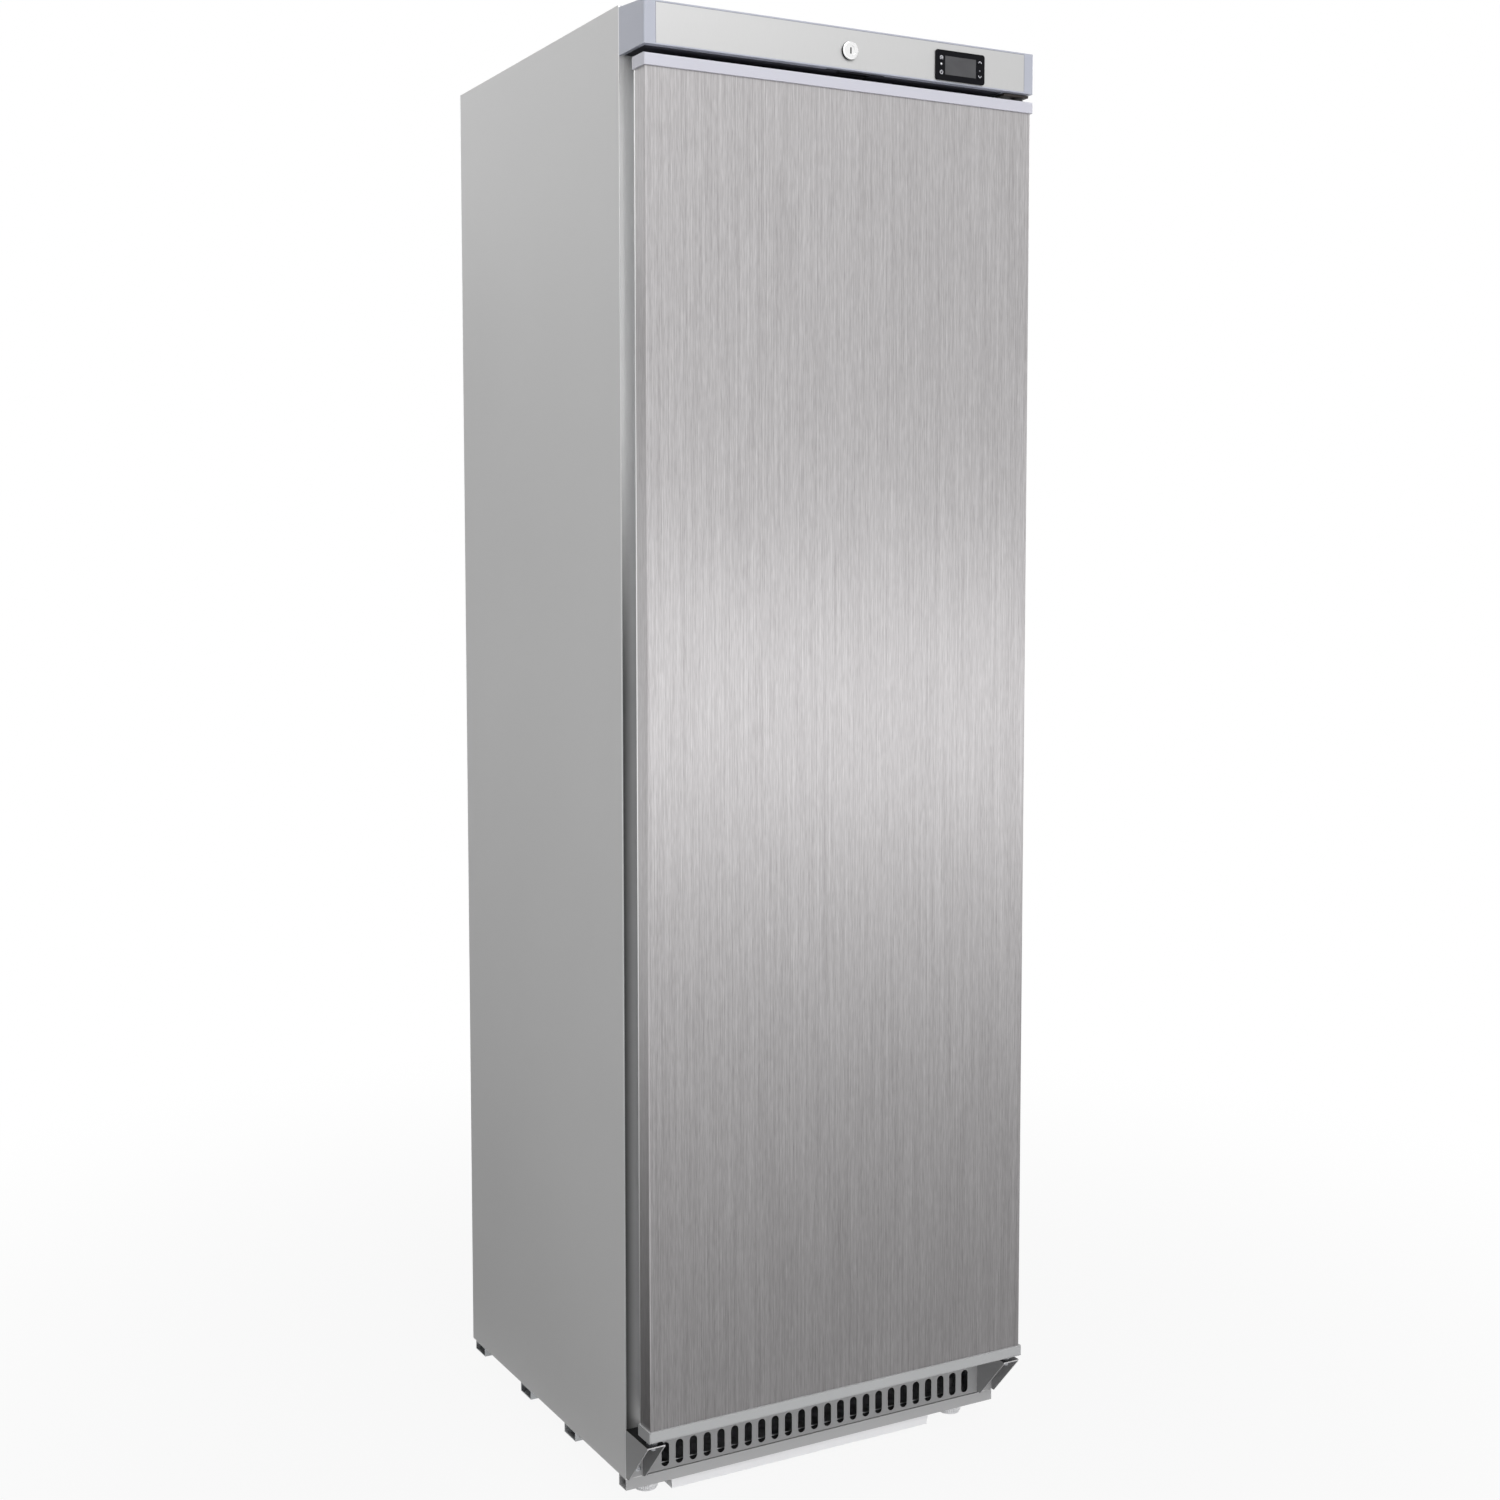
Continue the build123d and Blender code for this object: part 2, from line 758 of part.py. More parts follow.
# Steel insert on the control panel's face, with the lock and controller openings
with BuildPart() as fascia_insert:
    with BuildSketch(front_plane(face_y + insert_thickness)):
        with Locations((0, (insert_z[0] + insert_z[1]) / 2)):
            Rectangle(2 * insert_x, insert_z[1] - insert_z[0])
        with Locations((0, lock_height)):
            Circle(lock_shank_radius, mode=Mode.SUBTRACT)
        with Locations((controller_x, controller_z)):
            Rectangle(cutout_width, cutout_height, mode=Mode.SUBTRACT)
    extrude(amount=insert_thickness)
keep(fascia_insert, "fascia_insert")

# Lock: a chromed body through the panel, a turning barrel with its key slot, and the cam
with BuildPart() as lock_body:
    rod(0, (face_y - lock_stand_out, face_y), lock_height, lock_radius)
    ring = lock_body.faces().sort_by(Axis.Y)[0].edges()
    fillet(ring, radius=lock_rim_round)
    rod(0, (face_y, face_y + lock_body_depth), lock_height, lock_shank_radius)
    rod(
        0,
        (face_y - lock_stand_out, face_y + lock_body_depth),
        lock_height,
        lock_barrel_radius,
        mode=Mode.SUBTRACT,
    )
keep(lock_body, "lock_body")

barrel_face = face_y - lock_stand_out + barrel_sink
with BuildPart() as lock_barrel:
    rod(0, (barrel_face, cam_y[0]), lock_height, lock_barrel_radius - running_gap)
    rod(0, (cam_y[0], cam_y[1] + cam_spigot_proud), lock_height, cam_spigot_radius)
    block(
        (-key_slot_width / 2, key_slot_width / 2),
        (barrel_face, barrel_face + key_slot_depth),
        (lock_height - key_slot_height / 2, lock_height + key_slot_height / 2),
        mode=Mode.SUBTRACT,
    )
keep(lock_barrel, "lock_barrel")

with BuildPart() as lock_cam:
    with BuildSketch(front_plane(cam_y[1])):
        with BuildLine():
            Polyline(
                (0, lock_height + cam_width / 2),
                (cam_reach, lock_height + cam_width / 2),
                (cam_reach, lock_height - cam_width / 2),
                (0, lock_height - cam_width / 2),
            )
            ThreePointArc(
                (0, lock_height - cam_width / 2),
                (-cam_width / 2, lock_height),
                (0, lock_height + cam_width / 2),
            )
        make_face()
        with Locations((0, lock_height)):
            Circle(cam_spigot_radius, mode=Mode.SUBTRACT)
    extrude(amount=cam_thickness)
keep(lock_cam, "lock_cam")

# Controller: a black bezel on a body behind the panel, with wells for the window and four keys
key_places = {
    "key_defrost": (controller_x - key_column, controller_z + key_row),
    "key_power": (controller_x - key_column, controller_z - key_row),
    "key_up": (controller_x + key_column, controller_z + key_row),
    "key_down": (controller_x + key_column, controller_z - key_row),
}
bezel_face = face_y - bezel_thickness
window_back = bezel_face + window_sink + window_thickness
key_front = bezel_face - key_proud
well_back = key_front + key_length + key_travel + key_end_gap
with BuildPart() as controller_body:
    with BuildSketch(front_plane(face_y)):
        with Locations((controller_x, controller_z)):
            RectangleRounded(bezel_width, bezel_height, bezel_corner)
    extrude(amount=bezel_thickness)
    fillet(controller_body.faces().sort_by(Axis.Y)[0].edges(), radius=bezel_edge_round)
    block(
        (controller_x - controller_width / 2, controller_x + controller_width / 2),
        (face_y, face_y + controller_depth),
        (controller_z - controller_height / 2, controller_z + controller_height / 2),
    )
    block(
        (controller_x - window_width / 2, controller_x + window_width / 2),
        (bezel_face, window_back),
        (controller_z - window_height / 2, controller_z + window_height / 2),
        mode=Mode.SUBTRACT,
    )
    for key_x, key_z in key_places.values():
        block(
            (key_x - key_width / 2 - key_gap, key_x + key_width / 2 + key_gap),
            (bezel_face, well_back),
            (key_z - key_height / 2 - key_gap, key_z + key_height / 2 + key_gap),
            mode=Mode.SUBTRACT,
        )
keep(controller_body, "controller_body")

with BuildPart() as controller_window:
    block(
        (controller_x - window_width / 2, controller_x + window_width / 2),
        (window_back - window_thickness, window_back),
        (controller_z - window_height / 2, controller_z + window_height / 2),
    )
keep(controller_window, "controller_window")

for name, (key_x, key_z) in key_places.items():
    with BuildPart() as key:
        with BuildSketch(front_plane(key_front + key_length)):
            with Locations((key_x, key_z)):
                RectangleRounded(key_width, key_height, key_corner)
        extrude(amount=key_length)
    keep(key, name)

# Door skin: a folded steel sheet over the front and both sides, with returns behind
skin_z = (door_bottom + cap_end_wall, door_top - cap_end_wall)
with BuildPart() as door_skin:
    block((-skin_side, skin_side), (skin_face, shell_back), skin_z)
    outer_corners = door_skin.edges().filter_by(Axis.Z).group_by(Axis.Y)[0]
    fillet(outer_corners, radius=skin_bend)
    block(
        (sheet - skin_side, skin_side - sheet),
        (skin_face + sheet, shell_back - sheet),
        skin_z,
        mode=Mode.SUBTRACT,
    )
    block(
        (skin_return - skin_side, skin_side - skin_return),
        (shell_back - sheet, shell_back),
        skin_z,
        mode=Mode.SUBTRACT,
    )
keep(door_skin, "door_skin")

# The pocket in the door's top cap that the lock's cam turns into
pocket_x = (-cam_width / 2 - pocket_gap, cam_swing(lock_height - door_top) + pocket_gap)
pocket_y = (cam_y[0] - pocket_gap, cam_y[1] + pocket_gap)
pocket_bottom = lock_height - cam_tip_radius - pocket_gap


def pocket_box(bottom, top):
    """A block as wide as the pocket with its walls, between the two z values."""
    return (
        (pocket_x[0] - pocket_wall, pocket_x[1] + pocket_wall),
        (pocket_y[0] - pocket_wall, pocket_y[1] + pocket_wall),
        (bottom, top),
    )


def end_cap(end_z, into):
    """A plastic cap over one end of the door: end_z is its outer face, into points into the door."""
    inner_z = end_z + into * cap_end_wall
    block((-half_width, half_width), (face_y, shell_back), (end_z, end_z + into * cap_height))
    outer_edges = (
        faces_at(end_z).edges().filter_by(Axis.X).group_by(Axis.Y)[0]
        + edges_upright_front()
    )
    fillet(outer_edges, radius=cap_edge_round)
    block(
        (-skin_side, skin_side),
        (skin_face, shell_back),
        (inner_z, end_z + into * cap_height),
        mode=Mode.SUBTRACT,
    )


def faces_at(z):
    """The flat face of the current part at height z."""
    part = BuildPart._get_context().part
    return part.faces().filter_by(Axis.Z).sort_by(lambda face: abs(face.center().Z - z))[0]


def edges_upright_front():
    """The current part's upright edges nearest the front."""
    part = BuildPart._get_context().part
    return part.edges().filter_by(Axis.Z).group_by(Axis.Y)[0]


with BuildPart() as door_top_cap:
    end_cap(door_top, -1)
    post(hinge_x, hinge_y, (door_top - cap_end_wall, door_top), bush_radius, mode=Mode.SUBTRACT)
    block(*pocket_box(pocket_bottom - pocket_wall, door_top - cap_end_wall))
    block(pocket_x, pocket_y, (pocket_bottom, door_top), mode=Mode.SUBTRACT)
keep(door_top_cap, "door_top_cap")

with BuildPart() as door_bottom_cap:
    end_cap(door_bottom, 1)
    post(hinge_x, hinge_y, (door_bottom, door_bottom + cap_end_wall), bush_radius, mode=Mode.SUBTRACT)
keep(door_bottom_cap, "door_bottom_cap")

# The door's inner side steps in twice: the gasket's seat, then the plug that enters the opening
seat_x = half_width - plug_side_inset
seat_z = (door_bottom + plug_bottom_inset, door_top - plug_top_inset)
seat_y = front_y - gasket_clearance - gasket_thickness
plug_x = seat_x - plug_step
plug_z = (seat_z[0] + plug_end_step, seat_z[1] - plug_end_step)
plug_y = seat_y + plug_reach
wall = door_liner_wall

with BuildPart() as door_liner:
    rim_x = skin_side - door_liner_margin
    rim_z = (skin_z[0] + door_liner_margin, skin_z[1] - door_liner_margin)
    block((-rim_x, rim_x), (shell_back, shell_back + wall), rim_z)
    block((-seat_x, seat_x), (shell_back, seat_y), seat_z)
    block((-plug_x, plug_x), (shell_back, plug_y), plug_z)
    fillet(door_liner.edges().filter_by(Axis.Y).group_by(Axis.Y)[-1], radius=plug_corner)
    block(
        (wall - seat_x, seat_x - wall),
        (shell_back, seat_y - wall),
        (seat_z[0] + wall, seat_z[1] - wall),
        mode=Mode.SUBTRACT,
    )
    block(
        (wall - plug_x, plug_x - wall),
        (shell_back, plug_y - wall),
        (plug_z[0] + wall, plug_z[1] - wall),
        mode=Mode.SUBTRACT,
    )
keep(door_liner, "door_liner")

with BuildPart() as door_foam:
    foam_x = skin_side - sheet
    block((-foam_x, foam_x), (skin_face + sheet, shell_back - sheet), skin_z)
    block((skin_return - skin_side, skin_side - skin_return), (shell_back - sheet, shell_back), skin_z)
    block((wall - seat_x, seat_x - wall), (shell_back, seat_y - wall), (seat_z[0] + wall, seat_z[1] - wall))
    block(
        (wall + plug_corner - plug_x, plug_x - wall - plug_corner),
        (seat_y - wall, plug_y - wall),
        (plug_z[0] + wall + plug_corner, plug_z[1] - wall - plug_corner),
    )
    for end_z in ((skin_z[0], door_bottom + bush_depth), (door_top - bush_depth, skin_z[1])):
        post(hinge_x, hinge_y, end_z, bush_radius, mode=Mode.SUBTRACT)
    block(*pocket_box(pocket_bottom - pocket_wall, skin_z[1]), mode=Mode.SUBTRACT)
keep(door_foam, "door_foam")

# Magnetic gasket: a soft ring on the seat
with BuildPart() as door_gasket:
    with BuildSketch(front_plane(seat_y + gasket_thickness)):
        with Locations((0, (seat_z[0] + seat_z[1]) / 2)):
            Rectangle(2 * seat_x, seat_z[1] - seat_z[0])
            Rectangle(
                2 * (seat_x - gasket_width),
                seat_z[1] - seat_z[0] - 2 * gasket_width,
                mode=Mode.SUBTRACT,
            )
    extrude(amount=gasket_thickness)
keep(door_gasket, "door_gasket")

# Drip tray: a shallow white tray with a lip along each side, under the front channel
tray_right = tray_left + tray_width
tray_front = front_y + tray_setback
tray_y = (tray_front, tray_front + tray_depth)
tray_middle = ((tray_left + tray_right) / 2, (tray_y[0] + tray_y[1]) / 2)
body_width = tray_width - 2 * tray_lip


def tray_section(z, inset):
    """The tray's rectangular outline at one height, drawn in by an inset."""
    with BuildSketch(Plane.XY.offset(z)) as outline:
        with Locations(tray_middle):
            Rectangle(body_width - 2 * inset, tray_depth - 2 * inset)
    return outline.sketch


with BuildPart() as drip_tray:
    loft(sections=[tray_section(tray_bottom, tray_taper), tray_section(tray_top, 0)])
    block((tray_left, tray_right), tray_y, (tray_top - tray_lip_thickness, tray_top))
    loft(
        sections=[
            tray_section(tray_bottom + tray_wall, tray_taper + tray_wall),
            tray_section(tray_top, tray_wall),
        ],
        mode=Mode.SUBTRACT,
    )
keep(drip_tray, "drip_tray")

# Tray runners: an angle under the rails along each side of the tray
runner_y = (front_y + runner_setback, front_y + runner_setback + runner_length)
rail_bottom = side_panel_bottom - rail_height
lip_bottom = tray_top - tray_lip_thickness
with BuildPart() as tray_runners:
    for side, lip_edge, body_edge in (
        (-1, tray_left, tray_left + tray_lip),
        (1, tray_right, tray_right - tray_lip),
    ):
        web = lip_edge + side * runner_gap
        ledge_top = lip_bottom - runner_gap
        block((web, web + side * runner_wall), runner_y, (ledge_top - runner_wall, rail_bottom))
        block(
            (body_edge + side * runner_gap, web + side * runner_wall),
            runner_y,
            (ledge_top - runner_wall, ledge_top),
        )
keep(tray_runners, "tray_runners")

# Wire shelves: a round frame with thin bars welded on top
shelf_x = opening_x - shelf_side_gap - shelf_wire
shelf_front = front_y + shelf_front_setback
shelf_y = (shelf_front + shelf_wire, shelf_front + shelf_depth - shelf_wire)
shelf_pitch = 2 * shelf_x / (shelf_bar_count + 1)
bar_places = [(n * shelf_pitch - shelf_x, sum(shelf_y) / 2) for n in range(1, shelf_bar_count + 1)]
for number, height in enumerate(shelf_heights, start=1):
    with BuildPart() as shelf:
        with BuildLine(Plane.XY.offset(height)) as frame_route:
            FilletPolyline(
                (shelf_x, shelf_y[0]),
                (shelf_x, shelf_y[1]),
                (-shelf_x, shelf_y[1]),
                (-shelf_x, shelf_y[0]),
                radius=shelf_corner,
                close=True,
            )
        with BuildSketch(Plane(origin=frame_route.line @ 0, z_dir=frame_route.line % 0)):
            Circle(shelf_wire)
        sweep()
        bar_z = height + shelf_wire - shelf_bar / 2
        with Locations(*[(x, y, bar_z) for x, y in bar_places]):
            Cylinder(shelf_bar, shelf_y[1] - shelf_y[0], rotation=(90, 0, 0))
        for cross_y in (shelf_y[0] + shelf_depth / 3, shelf_y[1] - shelf_depth / 3):
            with Locations((0, cross_y, bar_z - shelf_bar - shelf_cross_bar + shelf_weld)):
                Cylinder(shelf_cross_bar, 2 * shelf_x, rotation=(0, 90, 0))
    keep(shelf, f"wire_shelf_{number}")

# Shelf clips on the liner's side walls, four to a shelf
clip_places = (shelf_y[0] + clip_inset, shelf_y[1] - clip_inset)
with BuildPart() as shelf_clips:
    for height in shelf_heights:
        for side in (-1, 1):
            for clip_y in clip_places:
                block(
                    (side * opening_x, side * (opening_x - clip_width)),
                    (clip_y - clip_length / 2, clip_y + clip_length / 2),
                    (height - shelf_wire - clip_height, height - shelf_wire),
                )
keep(shelf_clips, "shelf_clips")

# Evaporator cover: a white housing on the back wall with a guarded fan opening
wall_y = liner_back_y - liner_wall
cover_front = wall_y - cover_depth
cover_z = (opening_top - cover_drop - cover_height, opening_top - cover_drop)
cold_fan_z = (cover_z[0] + cover_z[1]) / 2
guard_radius = cold_fan_radius + guard_margin
with BuildPart() as evaporator_cover:
    block((-cover_width / 2, cover_width / 2), (cover_front, wall_y), cover_z)
    fillet(evaporator_cover.edges().filter_by(Axis.Z).group_by(Axis.Y)[0], radius=cover_corner)
    block(
        (cover_wall - cover_width / 2, cover_width / 2 - cover_wall),
        (cover_front + cover_wall, wall_y),
        (cover_z[0] + cover_wall, cover_z[1] - cover_wall),
        mode=Mode.SUBTRACT,
    )
    rod(0, (cover_front, cover_front + cover_wall), cold_fan_z, guard_radius, mode=Mode.SUBTRACT)
    with BuildSketch(front_plane(cover_front + guard_wire)):
        for ring_number in range(guard_ring_count, 0, -1):
            ring_radius = guard_radius * ring_number / (guard_ring_count + 1)
            with Locations((0, cold_fan_z)):
                Circle(ring_radius)
                Circle(ring_radius - guard_wire, mode=Mode.SUBTRACT)
        for turn in range(3):
            with Locations((0, cold_fan_z)):
                Rectangle(2 * guard_radius + guard_wire, guard_wire, rotation=60 * turn)
    extrude(amount=guard_wire)
    with GridLocations(cover_slot_pitch, 1, cover_slot_count, 1):
        with Locations((0, wall_y - cover_depth / 2, cover_z[0] + cover_wall / 2)):
            Box(cover_slot_width, cover_slot_length, cover_wall, mode=Mode.SUBTRACT)
keep(evaporator_cover, "evaporator_cover")


def fan_rotor(centre, radius, depth):
    """A fan rotor whose shaft lies along Y: a hub with a bore, and pitched blades."""
    with BuildPart(Plane(origin=centre, x_dir=(1, 0, 0), z_dir=(0, -1, 0))) as rotor:
        blade_length = radius - fan_hub_radius + blade_root
        with PolarLocations(fan_hub_radius + blade_length / 2 - blade_root, fan_blades):
            Box(blade_length, 2 * depth, blade_thickness, rotation=(blade_pitch, 0, 0))
        Cylinder(radius, depth, mode=Mode.INTERSECT)
        Cylinder(fan_hub_radius, depth)
        Cylinder(motor_shaft_radius + running_gap, depth, mode=Mode.SUBTRACT)
    return rotor


# Evaporator fan: rotor behind the guard, motor behind the rotor on a strap across the cover
cold_fan_y = cover_front + cover_wall + fan_guard_gap + cold_fan_depth / 2
keep(fan_rotor((0, cold_fan_y, cold_fan_z), cold_fan_radius, cold_fan_depth), "evaporator_fan")
cold_motor_front = cold_fan_y + cold_fan_depth / 2 + fan_motor_gap
cold_motor_y = (cold_motor_front, cold_motor_front + cold_motor_length)
with BuildPart() as evaporator_fan_motor:
    rod(0, cold_motor_y, cold_fan_z, cold_motor_radius)
    rod(0, (cold_fan_y - cold_fan_depth / 2, cold_motor_y[0]), cold_fan_z, motor_shaft_radius)
    block(
        (-motor_strap_width / 2, motor_strap_width / 2),
        (cold_motor_y[1] - motor_strap_thickness, cold_motor_y[1]),
        (cover_z[0] + cover_wall, cover_z[1] - cover_wall),
    )
keep(evaporator_fan_motor, "evaporator_fan_motor")


def finned_coil(x_span, y_rows, z_start, pitch, passes, fins, height, tube_radius, fin_depth):
    """Upright fins on one or more rows of a flat serpentine tube."""
    bend = (pitch - hairpin_flat) / 2
    overhang = bend + hairpin_straight
    fin_pitch = (x_span[1] - x_span[0]) / (fins - 1)
    fin_z = z_start + pitch * (passes - 1) / 2
    fin_y = sum(y_rows) / len(y_rows)
    with Locations(*[(x_span[0] + n * fin_pitch, fin_y, fin_z) for n in range(fins)]):
        Box(fin_thickness, fin_depth, height)
    for row_y in y_rows:
        tube(
            serpentine((x_span[0] - overhang, x_span[1] + overhang), row_y, z_start, pitch, passes),
            tube_radius,
            bend,
        )


# Evaporator coil on the back wall inside the cover
coil_pitch = coil_height / coil_passes
coil_y = wall_y - coil_depth / 2
with BuildPart() as evaporator_coil:
    finned_coil(
        (coil_end_margin - coil_width / 2, coil_width / 2 - coil_end_margin),
        (coil_y,),
        cold_fan_z - coil_pitch * (coil_passes - 1) / 2,
        coil_pitch,
        coil_passes,
        coil_fins,
        coil_height,
        coil_tube_radius,
        coil_depth,
    )
keep(evaporator_coil, "evaporator_coil")

# Temperature probe, clipped under the evaporator cover
with BuildPart() as temperature_probe:
    rod(
        cover_width / 2 - probe_side_inset,
        (cover_front + probe_front_inset, cover_front + probe_front_inset + probe_length),
        cover_z[0] - probe_radius,
        probe_radius,
    )
keep(temperature_probe, "temperature_probe")

# Drain tube from the floor of the storage space down to the drip tray
with BuildPart() as drain_tube:
    drain_bottom = tray_top + drain_tray_gap
    drain_top = opening_bottom + drain_flange_thickness
    post(0, drain_y, (drain_bottom, opening_bottom), drain_radius)
    post(0, drain_y, (opening_bottom, drain_top), drain_radius + drain_flange)
    post(0, drain_y, (drain_bottom, drain_top), drain_radius - drain_wall, mode=Mode.SUBTRACT)
keep(drain_tube, "drain_tube")

# Compressor: a welded steel can on a base plate and four rubber grommets
compressor_y = front_y + compressor_setback
foot_plane = base_top + grommet_height
can_bottom = foot_plane + compressor_base_thickness
grommet_x = compressor_base_width / 2 - grommet_inset
grommet_y = compressor_base_depth / 2 - grommet_inset
grommet_places = [
    (compressor_x + i * grommet_x, compressor_y + j * grommet_y) for i in (-1, 1) for j in (-1, 1)
]
with BuildPart() as compressor:
    with BuildSketch(Plane.XY.offset(foot_plane)):
        with Locations((compressor_x, compressor_y)):
            RectangleRounded(compressor_base_width, compressor_base_depth, compressor_base_corner)
    extrude(amount=compressor_base_thickness)
    post(compressor_x, compressor_y, (can_bottom, can_bottom + compressor_height), compressor_radius)
    rims = compressor.edges().filter_by(GeomType.CIRCLE).group_by(Axis.Z)[-1]
    fillet(rims, radius=compressor_dome_round)
    seam_z = can_bottom + compressor_seam_rise
    seam_radius = compressor_radius + compressor_seam_proud
    post(compressor_x, compressor_y, (seam_z, seam_z + compressor_seam_height), seam_radius)
    for x, y in grommet_places:
        post(x, y, (foot_plane, can_bottom), grommet_neck_radius, mode=Mode.SUBTRACT)
keep(compressor, "compressor")

with BuildPart() as compressor_grommets:
    for x, y in grommet_places:
        post(x, y, (base_top, foot_plane), grommet_radius)
        post(x, y, (foot_plane, can_bottom), grommet_neck_radius)
        post(x, y, (can_bottom, can_bottom + grommet_head_height), grommet_head_radius)
keep(compressor_grommets, "compressor_grommets")

with BuildPart() as compressor_terminal_cover:
    terminal_z = (can_bottom + terminal_rise, can_bottom + terminal_rise + terminal_height)
    block(
        (compressor_x - terminal_width / 2, compressor_x + terminal_width / 2),
        (compressor_y, compressor_y + seam_radius + terminal_depth),
        terminal_z,
    )
    fillet(compressor_terminal_cover.edges().filter_by(Axis.Z), radius=terminal_corner)
    post(compressor_x, compressor_y, terminal_z, seam_radius, mode=Mode.SUBTRACT)
keep(compressor_terminal_cover, "compressor_terminal_cover")

# Condenser: two rows of serpentine tube through upright fins, standing on the base plate
condenser_y = front_y + condenser_setback
condenser_reach = condenser_width / 2 - coil_end_margin
condenser_x = (condenser_centre_x - condenser_reach, condenser_centre_x + condenser_reach)
condenser_pitch = condenser_height / condenser_passes
condenser_z = base_top + condenser_height / 2
with BuildPart() as condenser_coil:
    finned_coil(
        condenser_x,
        (condenser_y - condenser_depth / 4, condenser_y + condenser_depth / 4),
        condenser_z - condenser_pitch * (condenser_passes - 1) / 2,
        condenser_pitch,
        condenser_passes,
        condenser_fins,
        condenser_height,
        condenser_tube_radius,
        condenser_depth,
    )
keep(condenser_coil, "condenser_coil")

# Condenser fan and its motor on a foot bracket
warm_fan_y = condenser_y + condenser_depth / 2 + warm_fan_gap + warm_fan_depth / 2
warm_centre = (condenser_centre_x, warm_fan_y, condenser_z)
keep(fan_rotor(warm_centre, warm_fan_radius, warm_fan_depth), "condenser_fan")
warm_motor_front = warm_fan_y + warm_fan_depth / 2 + warm_motor_gap
warm_motor_y = (warm_motor_front, warm_motor_front + warm_motor_length)
warm_shaft_y = (warm_fan_y - warm_fan_depth / 2, warm_motor_front + warm_motor_edge)
warm_strap_back = warm_motor_y[1] - warm_strap_setback
with BuildPart() as condenser_fan_motor:
    rod(condenser_centre_x, warm_motor_y, condenser_z, warm_motor_radius)
    fillet(condenser_fan_motor.edges().filter_by(GeomType.CIRCLE), radius=warm_motor_edge)
    rod(condenser_centre_x, warm_shaft_y, condenser_z, motor_shaft_radius)
    block(
        (condenser_centre_x - warm_strap_width / 2, condenser_centre_x + warm_strap_width / 2),
        (warm_strap_back - motor_strap_thickness, warm_strap_back),
        (base_top, condenser_z),
    )
    block(
        (condenser_centre_x - warm_foot_width / 2, condenser_centre_x + warm_foot_width / 2),
        (warm_strap_back - warm_foot_depth, warm_strap_back),
        (base_top, base_top + motor_strap_thickness),
    )
keep(condenser_fan_motor, "condenser_fan_motor")

# Refrigerant lines with the drier brazed into the liquid line
line_x = compressor_x - compressor_radius - discharge_side_gap
line_y = compressor_y - discharge_setback
low_z = can_bottom + discharge_height
condenser_top = condenser_z + condenser_height / 2
high_z = condenser_top + discharge_top_gap
discharge_route = [
    (compressor_x - compressor_radius - joint_gap, line_y, low_z),
    (line_x, line_y, low_z),
    (line_x, condenser_y + discharge_rear_gap, low_z),
    (line_x, condenser_y + discharge_rear_gap, high_z),
    (line_x, condenser_y, high_z),
    (condenser_centre_x, condenser_y, high_z),
    (condenser_centre_x, condenser_y, condenser_top + joint_gap),
]
can_top = can_bottom + compressor_height
line_top = machine_top - joint_gap
suction_route = [
    (compressor_x + suction_right, compressor_y, can_top + joint_gap),
    (compressor_x + suction_right, compressor_y, can_top + suction_rise),
    (compressor_x - suction_left, compressor_y, can_top + suction_rise),
    (compressor_x - suction_left, compressor_y, line_top),
]
drier_x = half_width - drier_side_inset
drier_z = (base_top + drier_rise, base_top + drier_rise + drier_length)
with BuildPart() as refrigerant_lines:
    tube(discharge_route, line_radius, line_bend)
    tube(suction_route, suction_radius, suction_bend)
    post(drier_x, condenser_y, drier_z, drier_radius)
    drier_ends = refrigerant_lines.edges().filter_by(GeomType.CIRCLE)
    fillet([edge for edge in drier_ends if edge.radius == drier_radius], radius=drier_neck_round)
    post(drier_x, condenser_y, (base_top, drier_z[0] + drier_overlap), drier_line_radius)
    post(drier_x, condenser_y, (drier_z[1] - drier_overlap, line_top), capillary_radius)
keep(refrigerant_lines, "refrigerant_lines")

# Rear grille over the machine space, with folds along the side panels
rear_y = back_y - rear_grille_setback
rear_z = (side_panel_bottom + rear_grille_bottom_gap, machine_top - rear_grille_top_gap)
rear_screw_x = inner_side - rear_screw_inset
rear_screw_z = (rear_z[0] + rear_screw_inset, rear_z[1] - rear_screw_inset)
rear_screws = [(x, z) for x in (-rear_screw_x, rear_screw_x) for z in rear_screw_z]
with BuildPart() as rear_grille:
    with BuildSketch(front_plane(rear_y + sheet)):
        with Locations((0, (rear_z[0] + rear_z[1]) / 2)):
            Rectangle(2 * inner_side, rear_z[1] - rear_z[0])
            with GridLocations(rear_slot_pitch_x, rear_slot_pitch_z, rear_slot_columns, rear_slot_rows):
                SlotOverall(rear_slot_length, rear_slot_width, mode=Mode.SUBTRACT)
        with Locations((gland_x, gland_z)):
            Circle(gland_nose_radius, mode=Mode.SUBTRACT)
    extrude(amount=sheet)
    for side in (-1, 1):
        block(
            (side * (inner_side - sheet), side * inner_side),
            (rear_y - rear_grille_fold, rear_y),
            rear_z,
        )
keep(rear_grille, "rear_grille")

# Cable gland in the rear grille
grille_back = rear_y + sheet
gland_y = (grille_back - gland_length / 2, grille_back + gland_length / 2)
with BuildPart() as power_gland:
    rod(gland_x, (grille_back, grille_back + gland_flange_thickness), gland_z, gland_flange_radius)
    rod(gland_x, gland_y, gland_z, gland_nose_radius)
    rod(gland_x, gland_y, gland_z, gland_bore_radius, mode=Mode.SUBTRACT)
keep(power_gland, "power_gland")

